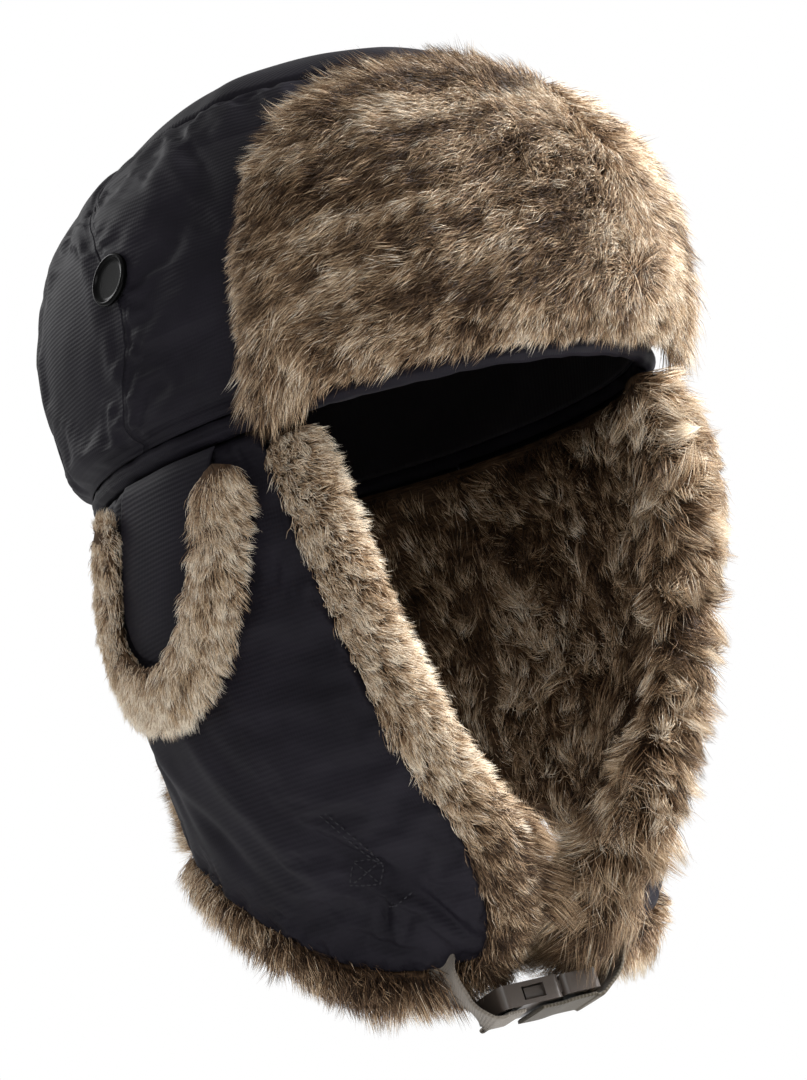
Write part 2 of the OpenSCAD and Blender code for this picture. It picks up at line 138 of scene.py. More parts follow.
def spline(points, t):
    p = np.asarray(points, float)
    n = len(p) - 1
    s = np.clip(t, 0, 1) * n
    i = np.minimum(np.floor(s).astype(int), n - 1)
    f = (s - i)[..., None]
    a, b, c, d = p[np.maximum(i - 1, 0)], p[i], p[i + 1], p[np.minimum(i + 2, n)]
    return 0.5 * (2 * b + (c - a) * f + (2 * a - 5 * b + 4 * c - d) * f ** 2
                  + (3 * b - a - 3 * c + d) * f ** 3)


def grid_normals(P):
    return unit(np.cross(np.gradient(P, axis=0), np.gradient(P, axis=1)))


def place(P, side):
    """Points of the right flap, or of its mirror image, which the strap draws in towards the chin."""
    if side < 0:
        return P
    Q = np.asarray(P, float) * np.array([-1.0, 1.0, 1.0])
    Q[..., 0] += PULL * np.minimum(Q[..., 2], 0)
    return Q


def mirror(side):
    """What turns a direction on the right flap into the same one on the flap of this side."""
    return np.array([-1.0, 1, 1]) if side > 0 else np.ones(3)


# ---------- the hat's surfaces, in mm ----------

def crown(a, u, off=0.0):
    """Points of the crown at the angle a in degrees and the height u, from 0 at the hem to 1 at the top."""
    a, u = np.broadcast_arrays(np.radians(np.asarray(a, float)), np.asarray(u, float))
    side = np.maximum(np.cos(u * PI / 2), 0) ** ROUND
    swell = 1 + SWELL * np.sin(PI * np.minimum(u * 1.9, 1))
    ry = np.where(np.sin(a) > 0, BACK, FRONT)
    return np.stack([(RX + off) * side * swell * np.cos(a), (ry + off) * side * swell * np.sin(a),
                     (TOP + off) * np.sin(u * PI / 2) ** RISE], -1)


def crown_u(z):
    return np.degrees(np.arcsin((np.asarray(z, float) / TOP) ** (1 / RISE))) / 90


HEM_U = float(crown_u(2 * HEM_R + 0.6))

# On the skirt t runs from 0 at the nape to 1 at the front edge, and v from 0 at the hem to 1 at the foot.
# These are its foot from the nape to the chin, and its front edge from the hem to the chin.
LOW = [[0, 114, -NAPE], [-42, 106, -NAPE - 2], [-72, 78, -NAPE - 9], [-84, 42, -140], [-81, 8, -164],
       [-70, -17, -182], [-53, -34, -CHIN], [-31, -46, -CHIN]]
FORE = [[-79, -66, SKIRT_TOP], [-79, -77, -40], [-73, -79, -80], [-62, -80, -120], [-47, -77, -150],
        [-36, -63, -174], [-31, -46, -CHIN]]


def hem_pt(t):
    a = np.radians(lerp(90, SKIRT_FRONT, t))
    return np.stack([RX * np.cos(a), np.where(np.sin(a) > 0, BACK, FRONT) * np.sin(a),
                     np.full_like(a, SKIRT_TOP)], -1)


def nape_pt(v):
    return np.stack([0 * v, lerp(BACK, 114, v) + 5 * np.sin(PI * v), lerp(SKIRT_TOP, -NAPE, v)], -1)


def skirt_mid(t, v):
    t, v = np.broadcast_arrays(np.asarray(t, float), np.asarray(v, float))
    one, zero = np.ones_like(t), np.zeros_like(t)
    T, V = t[..., None], v[..., None]
    mid = lerp(hem_pt(t), spline(LOW, t), V) + lerp(nape_pt(v), spline(FORE, v), T)
    mid = mid - lerp(lerp(nape_pt(zero), hem_pt(one), T), lerp(nape_pt(one), spline(LOW, one), T), V)
    mid[..., 0] -= 6 * np.sin(PI * v) * np.sin(PI * np.minimum(t, 1))
    return mid


def skirt_frame(t, v):
    """The skirt's outward direction, its way forward and its way down at (t, v)."""
    h = 0.01
    t, v = np.broadcast_arrays(np.asarray(t, float), np.asarray(v, float))
    t0, t1 = np.clip(t - h, 0, 1), np.clip(t + h, 0, 1)
    v0, v1 = np.clip(v - h, 0, 1), np.clip(v + h, 0, 1)
    dv, dt = skirt_mid(t, v1) - skirt_mid(t, v0), skirt_mid(t1, v) - skirt_mid(t0, v)
    return unit(np.cross(dv, dt)), unit(dt), unit(dv)


def skirt(t, v, off=0.0):
    t, v = np.broadcast_arrays(np.asarray(t, float), np.asarray(v, float))
    p = skirt_mid(np.abs(t), v) + skirt_frame(np.abs(t), v)[0] * np.asarray(off)[..., None]
    p[..., 0] = np.where(t < 0, -p[..., 0], p[..., 0])
    return p


def mirrored_frame(t, v):
    """The skirt's outward direction and its way down, where a negative t stands for the left half."""
    N, _, W = skirt_frame(np.abs(t), v)
    for G in (N, W):
        G[..., 0] *= np.where(t < 0, -1.0, 1.0)
    return N, W


def split_t(v):
    """Where along the skirt the ear flap ends and the neck curtain starts, at each v."""
    ts = np.linspace(0.15, 0.5, 60)
    y = skirt_mid(ts[None, :], np.atleast_1d(v)[:, None])[..., 1]
    return np.array([np.interp(-SPLIT_Y, -row, ts) for row in y])


def brow(p, q, off):
    """Points of the forehead flap: p runs across it from -1 to 1, q up it from 0 to 1."""
    p, q = np.broadcast_arrays(np.asarray(p, float), np.asarray(q, float))
    u0 = crown_u(2 * HEM_R + 1.4)
    return crown(270 + BROW_HALF * p * (1 - 0.12 * q * q),
                 lerp(u0, BROW_REACH * (1 - 0.42 * np.abs(p) ** 3), q), off)


def port_tv(s, d):
    """Where a point of the ear port flap lies on the skirt, s mm across and d mm down."""
    return PORT_T + (s - PORT_LEAN * d) / SKIRT_ARC, PORT_V + d / SKIRT_DROP


# ---------- materials ----------

def linear(*rgb):
    return tuple((c / 255 / 12.92 if c <= 10 else ((c / 255 + 0.055) / 1.055) ** 2.4) for c in rgb) + (1,)


def principled(name, colour, rough, **more):
    m = bpy.data.materials.new(name)
    m.use_nodes = True
    b = m.node_tree.nodes["Principled BSDF"]
    b.inputs["Base Color"].default_value = colour
    b.inputs["Roughness"].default_value = rough
    for key, value in more.items():
        b.inputs[key.replace("_", " ")].default_value = value
    return m, b


def node(m, kind, feeds, **values):
    """A shader node whose values are set by name. feeds gives the sockets that feed its inputs."""
    n = m.node_tree.nodes.new(kind)
    for key, value in values.items():
        if hasattr(n, key):
            setattr(n, key, value)
        else:
            n.inputs[key.replace("_", " ")].default_value = value
    for key, source in feeds.items():
        m.node_tree.links.new(source, n.inputs[key])
    return n


def maths(m, operation, *terms):
    """The answer of a maths node. Each term is a socket or a number."""
    n = node(m, "ShaderNodeMath", {}, operation=operation)
    for k, term in enumerate(terms):
        if isinstance(term, float):
            n.inputs[k].default_value = term
        else:
            m.node_tree.links.new(term, n.inputs[k])
    return n.outputs[0]


def bumped(m, b, height, strength, depth):
    bump = node(m, "ShaderNodeBump", {"Height": height}, Strength=strength, Distance=depth * MM)
    m.node_tree.links.new(bump.outputs["Normal"], b.inputs["Normal"])


def mottled(m, b, fac, low, high, dark, light):
    """Base colour that goes from dark to light as fac goes from low to high."""
    tones = node(m, "ShaderNodeValToRGB", {"Fac": fac})
    for stop, position, colour in zip(tones.color_ramp.elements, (low, high), (dark, light)):
        stop.position, stop.color = position, colour
    m.node_tree.links.new(tones.outputs["Color"], b.inputs["Base Color"])


def woven(name, colour, rough, pitch, depth, axis=1, **more):
    """Cloth whose ribs run square to one axis of the mesh's 'cloth' coordinates, which are in mm."""
    m, b = principled(name, colour, rough, **more)
    at = node(m, "ShaderNodeAttribute", {}, attribute_name="cloth").outputs["Vector"]
    split = node(m, "ShaderNodeSeparateXYZ", {0: at})
    sway, grain, soft = (node(m, "ShaderNodeTexNoise", {"Vector": at}, Scale=scale, Detail=detail).outputs[0]
                         for scale, detail in ((0.12, 2.0), (1.7, 3.0), (0.035, 4.0)))
    ribs = []
    for ax, step, share in ((axis, pitch, 1.0), (1 - axis, pitch / 1.6, 0.35)):
        phase = maths(m, "MULTIPLY_ADD", split.outputs[ax], 2 * PI / step, sway)
        ribs.append(maths(m, "MULTIPLY", maths(m, "SINE", phase), share))
    bumped(m, b, maths(m, "MULTIPLY_ADD", grain, 1.2, maths(m, "ADD", *ribs)), 0.55, depth)
    dark, light = (tuple(c * share for c in colour[:3]) + (1,) for share in (0.75, 1.25))
    mottled(m, b, soft, 0.3, 0.72, dark, light)
    return m


def moulded(name, colour, rough, grain=900.0, depth=0.02, **more):
    """Plastic or braid with a fine grain."""
    m, b = principled(name, colour, rough, **more)
    at = node(m, "ShaderNodeTexCoord", {}).outputs["Object"]
    n = node(m, "ShaderNodeTexNoise", {"Vector": at}, Scale=grain, Detail=2.0)
    bumped(m, b, n.outputs["Fac"], 0.3, depth)
    return m


def pile_base(name, dark, light):
    """The short dense under-fur between the long hairs."""
    m, b = principled(name, dark, 0.9, Specular_IOR_Level=0.15)
    at = node(m, "ShaderNodeAttribute", {}, attribute_name="cloth").outputs["Vector"]
    stretch = node(m, "ShaderNodeVectorMath", {0: at}, operation="MULTIPLY")
    stretch.inputs[1].default_value = (0.10, 0.9, 0.5)
    n = node(m, "ShaderNodeTexNoise", {"Vector": stretch.outputs[0]}, Scale=1.0, Detail=5.0, Roughness=0.65)
    mottled(m, b, n.outputs["Fac"], 0.34, 0.7, dark, light)
    bumped(m, b, n.outputs["Fac"], 0.9, 0.8)
    return m


SHELL = woven("ribbed_shell_cloth", linear(27, 25, 31), 0.6, 1.8, 0.065, Specular_IOR_Level=0.085)
LINING = woven("quilted_satin", linear(20, 20, 24), 0.45, 0.9, 0.03, Specular_IOR_Level=0.2)
BAND = woven("brushed_knit_band", linear(30, 28, 30), 0.9, 1.6, 0.12, axis=0, Specular_IOR_Level=0.1)
TAPE = woven("woven_blank_tape", linear(196, 192, 186), 0.85, 0.7, 0.05)
WEBBING = woven("grey_brown_webbing", linear(112, 104, 94), 0.8, 1.5, 0.16, axis=0, Sheen_Weight=0.1)
OLIVE = woven("dark_olive_webbing", linear(62, 54, 40), 0.8, 1.5, 0.16, axis=0, Sheen_Weight=0.1)
THREAD = principled("black_thread", linear(40, 39, 43), 0.7, Specular_IOR_Level=0.2)[0]
PLASTIC = moulded("satin_buckle_plastic", linear(66, 58, 52), 0.36)
BUTTON = moulded("polished_button_plastic", linear(5, 5, 5), 0.22, grain=300, depth=0.01,
                 Specular_IOR_Level=0.07)
ELASTIC = moulded("braided_elastic", linear(24, 24, 26), 0.8, grain=2500, depth=0.2)
UNDER = pile_base("fur_under_pile", linear(44, 31, 21), linear(100, 77, 56))

# Long hairs: each of five tones has a dark root, a middle and a pale tip.
TONES = [((31, 20, 12), (54, 37, 24), (84, 62, 42)), ((49, 34, 23), (96, 72, 50), (146, 117, 87)),
         ((69, 50, 34), (141, 112, 83), (198, 170, 136)), ((92, 70, 52), (180, 151, 120), (232, 208, 176)),
         ((114, 92, 72), (210, 186, 157), (250, 237, 216))]
HAIR = [principled(f"hair_tone_{i}_{part}", linear(*rgb), 0.5, Specular_IOR_Level=0.35)[0]
        for i, tone in enumerate(TONES) for part, rgb in zip(("root", "middle", "tip"), tone)]


# ---------- meshes ----------

def build(name, verts_mm, faces, mats, index=None, cloth=None):
    """An object from points in mm and a list of face arrays, each of one face size."""
    me = bpy.data.meshes.new(name)
    verts = np.asarray(verts_mm, float).reshape(-1, 3) * MM
    faces = [np.asarray(f, np.int32) for f in faces]
    sizes = np.concatenate([np.full(len(f), f.shape[1], np.int32) for f in faces])
    me.vertices.add(len(verts))
    me.vertices.foreach_set("co", verts.astype(np.float32).ravel())
    me.loops.add(int(sizes.sum()))
    me.loops.foreach_set("vertex_index", np.concatenate([f.ravel() for f in faces]))
    me.polygons.add(len(sizes))
    me.polygons.foreach_set("loop_start", np.concatenate([[0], np.cumsum(sizes)[:-1]]).astype(np.int32))
    for m in mats:
        me.materials.append(m)
    if index is not None:
        me.polygons.foreach_set("material_index", np.asarray(index, np.int32))
    me.polygons.foreach_set("use_smooth", np.full(len(sizes), True))
    if cloth is not None:
        at = me.attributes.new("cloth", "FLOAT_VECTOR", "POINT")
        at.data.foreach_set("vector", np.asarray(cloth).reshape(len(verts), 3).astype(np.float32).ravel())
    me.update(calc_edges=True)
    me.validate()
    o = bpy.data.objects.new(name, me)
    bpy.context.scene.collection.objects.link(o)
    return o


def quads(rows, cols, wrap=False, start=0, flip=False):
    r = np.arange(rows - 1)[:, None]
    c = np.arange(cols if wrap else cols - 1)[None, :]
    d = (c + 1) % cols
    q = np.stack([r * cols + c, r * cols + d, (r + 1) * cols + d, (r + 1) * cols + c], -1).reshape(-1, 4)
    return (q[:, ::-1] if flip else q) + start


def lengths(P, axis):
    d = np.linalg.norm(np.diff(P, axis=axis), axis=-1)
    return np.concatenate([np.zeros_like(d[:1] if axis == 0 else d[:, :1]), np.cumsum(d, axis)], axis)


def cloth_of(P):
    """Coordinates in mm along a grid of points: across its rows and down its columns."""
    across = lengths(P, 1)
    across = across - across[:, across.shape[1] // 2][:, None]
    return np.stack([across, lengths(P, 0), 0 * across], -1)


def slab(name, outer, inner, mat, cloth=None, wrap=False):
    """A closed piece of cloth between two grids of the same shape. Rows run down, columns forward."""
    rows, cols = outer.shape[:2]
    n = rows * cols
    faces = [quads(rows, cols, wrap), quads(rows, cols, wrap, n, True)]
    c = np.arange(cols if wrap else cols - 1)
    d = (c + 1) % cols
    last = (rows - 1) * cols
    faces.append(np.stack([c, n + c, n + d, d], -1))
    faces.append(np.stack([last + c, last + d, n + last + d, n + last + c], -1))
    if not wrap:
        r = np.arange(rows - 1) * cols
        faces.append(np.stack([r, r + cols, n + r + cols, n + r], -1))
        e = r + cols - 1
        faces.append(np.stack([e, n + e, n + e + cols, e + cols], -1))
    cloth = cloth_of(outer) if cloth is None else cloth
    verts = np.concatenate([outer.reshape(-1, 3), inner.reshape(-1, 3)])
    return build(name, verts, faces, [mat], cloth=np.concatenate([cloth.reshape(-1, 3)] * 2))


def flap_slab(name, outer, inner, mat, side, cloth=cloth_of):
    """A slab of a flap. On the left its columns run the other way, so that its outside stays outside."""
    if side > 0:
        outer, inner = outer[:, ::-1], inner[:, ::-1]
    return slab(name, outer, inner, mat, cloth=cloth(outer))


def tube(name, rings, mat, wrap=False, cloth=None):
    """A closed tube through rings, an array (rings, points round, 3)."""
    rows, cols = rings.shape[:2]
    verts = rings.reshape(-1, 3)
    faces = [quads(rows, cols, True)]
    c = np.arange(cols)
    d = (c + 1) % cols
    n = rows * cols
    if wrap:
        faces.append(np.stack([n - cols + c, n - cols + d, d, c], -1))
    else:
        verts = np.concatenate([verts, rings[0].mean(0)[None], rings[-1].mean(0)[None]])
        faces.append(np.stack([np.full(cols, n), d, c], -1))
        faces.append(np.stack([np.full(cols, n + 1), n - cols + c, n - cols + d], -1))
    if cloth is None:
        along = lengths(rings.mean(1)[:, None], 0) + np.zeros((1, cols))
        cloth = np.stack([along, lengths(rings, 1), 0 * along], -1).reshape(-1, 3)
        cloth = np.concatenate([cloth, np.zeros((len(verts) - len(cloth), 3))])
    return build(name, verts, faces, [mat], cloth=cloth)


def sweep(path, ups, rw, rt, n=16, power=1.0):
    """Rings of oval section along a path, flat way square to ups."""
    path, ups = np.asarray(path, float), np.asarray(ups, float)
    d = unit(np.gradient(path, axis=0))
    side = unit(np.cross(d, ups))
    up = unit(np.cross(side, d))
    f = np.linspace(0, 2 * PI, n, endpoint=False)
    cs, sn = np.cos(f), np.sin(f)
    cs, sn = np.sign(cs) * np.abs(cs) ** power, np.sign(sn) * np.abs(sn) ** power
    rw, rt = np.broadcast_to(rw, len(path)), np.broadcast_to(rt, len(path))
    return (path[:, None] + side[:, None] * (rw[:, None] * cs)[..., None]
            + up[:, None] * (rt[:, None] * sn)[..., None])


def resample(path, n):
    """A smooth path through points, with n points evenly spaced along it."""
    fine = spline(path, np.linspace(0, 1, 400))
    s = np.concatenate([[0], np.cumsum(np.linalg.norm(np.diff(fine, axis=0), axis=1))])
    return np.stack([np.interp(np.linspace(0, s[-1], n), s, fine[:, k]) for k in range(3)], -1)


# ---------- fur ----------

HAIR_STEPS = 3
HAIR_TAPER = (1.0, 0.95, 0.6)
MOST_HAIRS = 13000


def patch(P, N, D, length, weight=1.0):
    """Where hair grows: points, normals, combed direction, length in mm, and density."""
    P, N, D = (np.asarray(x, float) for x in (P, N, D))
    length, weight = (np.broadcast_to(np.asarray(x, float), P.shape[:2]) for x in (length, weight))
    return P, unit(N), unit(D), length, weight


def cells(pt):
    """The area of each cell of a patch, weighed by its density."""
    P, W = pt[0], pt[4]
    a = np.linalg.norm(np.cross(P[1:, :-1] - P[:-1, :-1], P[:-1, 1:] - P[:-1, :-1]), axis=-1)
    return a * (W[:-1, :-1] + W[1:, 1:]) / 2


def sample(pt, count, rng):
    """Roots spread over a patch, with the normal, the combed direction and the length at each."""
    P, N, D, L = pt[:4]
    w = cells(pt).ravel()
    cell = rng.choice(len(w), count, p=w / w.sum())
    r, c = np.divmod(cell, P.shape[1] - 1)
    x, y = rng.random((2, count))

    def at(G):
        k = (slice(None),) + (None,) * (G.ndim - 2)
        return ((G[r, c] * ((1 - x) * (1 - y))[k] + G[r, c + 1] * (x * (1 - y))[k])
                + (G[r + 1, c] * ((1 - x) * y)[k] + G[r + 1, c + 1] * (x * y)[k]))
    return at(P), unit(at(N)), unit(at(D)), at(L)


def drawn_together(pts, R, size, pull, rng):
    """Leans hairs rooted at R towards the middle hair of their tuft, and says which tuft each is in."""
    n = len(R)
    centre = rng.choice(n, min(max(4, size), n), replace=False)
    tree = KDTree(len(centre))
    for i, c in enumerate(centre):
        tree.insert(R[c], i)
    tree.balance()
    tuft = np.fromiter((tree.find(r)[1] for r in R), int, n)
    power = pull * (0.5 + 0.8 * rng.random(n))
    for k in range(1, HAIR_STEPS + 1):
        w = (power * (k / HAIR_STEPS) ** 1.3)[:, None]
        pts[:, k] = pts[:, k] * (1 - w) + pts[centre[tuft], k] * w
    return tuft, len(centre)


def hair_mesh(name, pts, spin, width, tones):
    """Three-sided hairs through pts, an array (hairs, points along, 3), each with its width and tone."""
    n = len(pts)
    e = unit(np.diff(pts, axis=1))
    ref = unit(np.cross(e[:, 0], unit(spin)))
    rings = []
    for k in range(HAIR_STEPS):
        b = unit(np.cross(e[:, k], np.cross(ref, e[:, k])))
        c = np.cross(e[:, k], b)
        w = width * HAIR_TAPER[k]
        for j in range(3):
            f = 2 * PI * j / 3
            rings.append(pts[:, k] + (b * math.cos(f) + c * math.sin(f)) * w[:, None] * 0.5)
    rings.append(pts[:, HAIR_STEPS])
    per = HAIR_STEPS * 3 + 1
    base = (np.arange(n) * per)[:, None]
    around = [(j, (j + 1) % 3) for j in range(3)]
    side = [base + np.array([[k + i, k + j, k + 3 + j, k + 3 + i]])
            for k in range(0, per - 4, 3) for i, j in around]
    tips = [base + np.array([[per - 4 + i, per - 4 + j, per - 1]]) for i, j in around]
    # The lowest third of a hair has its root's colour, the next its middle's, the last its tip's.
    part = np.repeat(np.arange(HAIR_STEPS - 1), 3)
    index = np.concatenate([(tones[:, None] * 3 + part).ravel(), np.repeat(tones * 3 + 2, 3)])
    faces = [np.stack(side, 1).reshape(-1, 4), np.stack(tips, 1).reshape(-1, 3)]
    return build(name, np.stack(rings, 1).reshape(-1, 3), faces, HAIR, index)


def hairs(name, pt, count, seed, lift, clump, pull, width, bend=1.0, stray=0.22, whorl=0.3, tone=0.0,
          streak=(32.0, 4.5)):
    """Tapered hairs as real mesh, combed, clumped and mottled."""
    rng = np.random.default_rng(seed)
    R, N, D, L = sample(pt, count, rng)
    n = len(R)
    L = L * (0.72 + 0.4 * rng.random(n)) * (1 + 0.15 * noise(R / 9.0, seed + 3))
    wind = np.stack([noise(R / 13.0 + 31 * k, seed + k) for k in range(3)], -1) * whorl
    eddy = np.stack([noise(R / 4.0 + 57 * k, seed + 9 + k) for k in range(3)], -1) * whorl * 0.6
    odd = rng.normal(size=(n, 3)) * stray
    first = unit(N * lift + D * (1 - lift) * 0.8 + wind * 0.4 + odd * 0.6)
    pts = [R - N * 0.8]
    for k in range(1, HAIR_STEPS + 1):
        s = k / HAIR_STEPS
        turn = unit(D + wind + eddy + odd * 1.1 + N * (0.35 - 0.25 * s) * lift * 2)
        pts.append(pts[-1] + unit(lerp(first, turn, min(1, s * bend))) * (L / HAIR_STEPS)[:, None])
    pts = np.stack(pts, 1)
    tuft, tufts = drawn_together(pts, R, int(float(cells(pt).sum()) / (clump * clump)), pull, rng)
    curl = 0.25 * (np.arange(1, HAIR_STEPS + 1) / HAIR_STEPS)
    pts[:, 1:] += rng.normal(size=(n, HAIR_STEPS, 3)) * curl[None, :, None]

    spin = rng.normal(size=(n, 3))
    width = width * (0.7 + 0.6 * rng.random(n))
    # Tones run in streaks along the combed direction.
    cross = unit(np.cross(N, D))
    q = np.stack([(R * D).sum(1) / streak[0], (R * cross).sum(1) / streak[1], (R * N).sum(1) / 30], -1)
    # A tone given as a function of the roots' places paints light and shade across the patch.
    value = 2 + (tone(R) if callable(tone) else tone) + 2.4 * noise(q + wind * 1.5, 5)
    value = value + 1.2 * noise(R / 14.0, 6) + rng.normal(size=n) * 0.65 + rng.normal(size=tufts)[tuft]
    return hair_mesh(name, pts, spin, width, np.clip(np.round(value), 0, 4).astype(int))


def hinge(o):
    """Bakes a soft part of an ear flap into its place, without attaching it to a body."""
    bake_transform(o)


def fur_pieces(name, pt, count, body, seed, hinged=None, **how):
    """Hair split into pieces that stay light enough to print, each riding on body. Unless hinged, each
    rides on body; hinged pieces are baked in place.
    """
    count = int(count * DENSE)
    parts = max(1, math.ceil(count / MOST_HAIRS))
    for i in range(parts):
        o = hairs(f"{name}_{i + 1}" if parts > 1 else name, pt, count // parts, seed + 101 * i, **how)
        if hinged:
            hinge(o)
        else:
            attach(o, body)


# ---------- padding: cloth that settles under its own fullness ----------

def upsample(D, rows, cols):
    """A coarse grid of vectors read off smoothly on a finer grid."""
    D = spline(D.reshape(len(D), -1), np.linspace(0, 1, rows)).reshape(rows, D.shape[1], 3)
    D = np.swapaxes(D, 0, 1)
    D = spline(D.reshape(len(D), -1), np.linspace(0, 1, cols)).reshape(cols, rows, 3)
    return np.swapaxes(D, 0, 1)


def settle(P, full, push, cap, seed):
    """How far a panel pinned round its border moves when it holds full more cloth than it has room for.

    P is the panel's own grid in mm. The answer is a grid of the same shape, no longer than cap."""
    step_r, step_c = max(1, P.shape[0] // 48), max(1, P.shape[1] // 64)
    ri = np.unique(np.append(np.arange(0, P.shape[0], step_r), P.shape[0] - 1))
    ci = np.unique(np.append(np.arange(0, P.shape[1], step_c), P.shape[1] - 1))
    C = P[np.ix_(ri, ci)]
    rows, cols = C.shape[:2]
    start = C + grid_normals(C) * (0.25 * noise(C / 9.0, seed))[..., None]
    o = build("settling", start, [quads(rows, cols)], [SHELL])
    rim = np.ones((rows, cols), bool)
    rim[1:-1, 1:-1] = False
    o.vertex_groups.new(name="pin").add([int(i) for i in np.flatnonzero(rim.ravel())], 1.0, "REPLACE")
    md = o.modifiers.new("settling", "CLOTH")
    st = md.settings
    st.quality, st.mass, st.time_scale = 6, 0.2, 1.0
    st.tension_stiffness = st.compression_stiffness = 18
    st.shear_stiffness, st.bending_stiffness = 6, 0.35
    st.vertex_group_mass = "pin"
    st.shrink_min = -full
    st.use_pressure, st.uniform_pressure_force = True, push
    st.effector_weights.gravity = 0
    md.collision_settings.use_collision = False
    scene = bpy.context.scene
    for f in range(1, 21):
        scene.frame_set(f)
    got = o.evaluated_get(bpy.context.evaluated_depsgraph_get())
    Q = np.zeros(rows * cols * 3, np.float32)
    got.data.vertices.foreach_get("co", Q)
    scene.frame_set(1)
    bpy.data.objects.remove(o)
    D = Q.reshape(rows, cols, 3) / MM - C
    size = np.linalg.norm(D, axis=-1, keepdims=True)
    D = D * (cap * np.tanh(size / cap) / np.maximum(size, 1e-6))
    D[~np.isfinite(D)] = 0
    D[rim] = 0
    return upsample(D, *P.shape[:2])


# ---------- crown ----------

def wrinkle(P, at, along, length, width, height):
    """One soft fold: a ridge of the given height along a line on the surface."""
    at, along = np.asarray(at, float), unit(along)
    d = P - at
    x = (d * along).sum(-1)
    rest = np.linalg.norm(d - x[..., None] * along, axis=-1)
    return height * np.exp(-(x / length) ** 2) * np.exp(-(rest / width) ** 2)


# The side seam's angle in degrees at some heights up the crown.
SEAM_U = [0.0, 0.07, 0.113, 0.184, 0.237, 0.294, 0.415, 0.508, 0.58, 0.7]
SEAM_A = [188.0, 188.6, 191.0, 195.4, 196.4, 195.6, 187.0, 177.0, 171.0, 166.0]

# Folds: a point of each, the way it runs, its half length, its half width and its height.
# First the gathered tuck high at the front, a line of small knots, then a flat facet and a fold below it.
CROWN_FOLDS = [((lerp(-67, -76, k / 6), lerp(-40, -74, k / 6), lerp(108, 82, k / 6)), (0.35, -0.3, 0.9),
                3.2, 1.5, 1.3 * (1 if k % 2 else -0.7)) for k in range(7)] + [
    ((-71, -55, 97), (-0.2, -0.75, -0.6), 22, 2.6, -1.9),
    ((-75, -52, 92), (-0.2, -0.75, -0.55), 20, 4.5, 1.5),
    ((-82, -56, 76), (0.1, -0.8, -0.5), 26, 5.0, -1.7),
    ((-85, -50, 68), (0.1, -0.8, -0.5), 24, 5.0, 1.2),
    ((-84, 6, 97), (0.3, 0.3, -0.9), 10, 2.2, -1.6),
    ((-95, -10, 82), (0.1, -0.6, -0.8), 14, 2.4, -1.3),
    ((-104, -20, 40), (0.0, 0.2, 0.95), 30, 7.0, 0.8),
    ((-98, -50, 30), (0.5, -0.8, 0.2), 40, 5.0, -0.9),
    ((-88, 40, 96), (0.4, 0.6, -0.4), 30, 5.0, -1.0)]


def seam_a(u, side=-1):
    """The angle at which the side seam runs, which bends forward at the button."""
    a = np.interp(u, SEAM_U, SEAM_A)
    return a if side < 0 else 540 - a


def turned(a):
    """An angle in degrees, brought between -180 and 180."""
    return (a + 180) % 360 - 180


def crown_relief(a, u, P):
    """Height in mm of the crown's cloth: seams, hem groove, folds and soft dents."""
    h = 0.8 * noise(P / 34.0, 4) + 0.3 * noise(P / 13.0, 5)
    # The shoulder stands fuller away from the forehead flap.
    away = smooth((np.abs(turned(a - 270)) - 52) / 14)
    h = h + away * (4.2 * bell(u - 0.46, 0.13) - 2.0 * bell(u - 0.72, 0.1))
    for side in (-1, 1):
        arc = turned(a - seam_a(u, side)) * PI / 180 * 105 * np.maximum(np.cos(u * PI / 2), 0) ** ROUND
        pucker = 0.3 * np.sin(P[..., 2] * 2 * PI / 7 + 2 * noise(P / 9.0, 6))
        welt = 0.7 * bell(arc, 0.9) - 0.8 * bell(arc - 1.9, 0.9) - 0.5 * bell(arc + 1.9, 0.9)
        h = h + (u < TOP_SEAM) * (welt + pucker * bell(arc - 5, 5))
    h = h - 1.0 * bell(u - TOP_SEAM, 0.008)
    z = P[..., 2]
    h = h - 3.0 * bell(z - 8.0, 2.4) + 1.6 * bell(z - 16, 5.0)
    for sx in (1, -1):
        Q = P * np.array([sx, 1, 1])
        for fold in CROWN_FOLDS:
            h = h + wrinkle(Q, *fold)
    return h


def crown_piece(name, a0, a1, u0, u1, rows, cols, nodes, wrap=False):
    """One panel of shell cloth. a0 and a1 give its side seams at each height."""
    u = np.linspace(u1, u0, rows)[:, None] + np.zeros((1, cols))
    lo, hi = a0(u[:, :1]), a1(u[:, :1])
    a = lerp(lo, hi, np.linspace(0, 1, cols, endpoint=not wrap)[None, :])
    P = crown(a, u)
    up = crown(a, np.minimum(u + 0.004, 1)) - crown(a, u - 0.004)
    N = unit(np.cross(crown(a + 0.5, u) - crown(a - 0.5, u), up))
    N[u > 0.985] = (0, 0, 1)
    h = crown_relief(a % 360, u, P)
    # The edges turn in, so that the seams read as seams.
    edge = np.exp(-(u - u0) / 0.006)
    if wrap:
        cloth = P * (1, 1, 0)
    else:
        edge = edge + np.exp(-(a - lo) / 0.35) + np.exp(-(hi - a) / 0.35) + np.exp(-(u1 - u) / 0.006)
        P = P + settle(P + N * h[..., None], 0.03, 0.6, 1.7, seed=90 + cols)
        arc = (a - 180) * PI / 180 * 110 * (0.35 + 0.65 * np.cos(u * PI / 2))
        cloth = np.stack([arc, P[..., 2] * 1.25, 0 * a], -1)
    outer = P + N * (h - 0.9 * np.clip(edge, 0, 1))[..., None]
    inner = P + N * (h - SHELL_T - 0.4)[..., None]
    o = slab(name, outer, inner, SHELL, cloth=cloth, wrap=wrap)
    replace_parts(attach(o, "crown"), *nodes)


def all_round(rows, cols):
    """Angles from 0 to 360 along each row of a grid."""
    return np.linspace(0, 360, cols, endpoint=False)[None, :] + np.zeros((rows, 1))


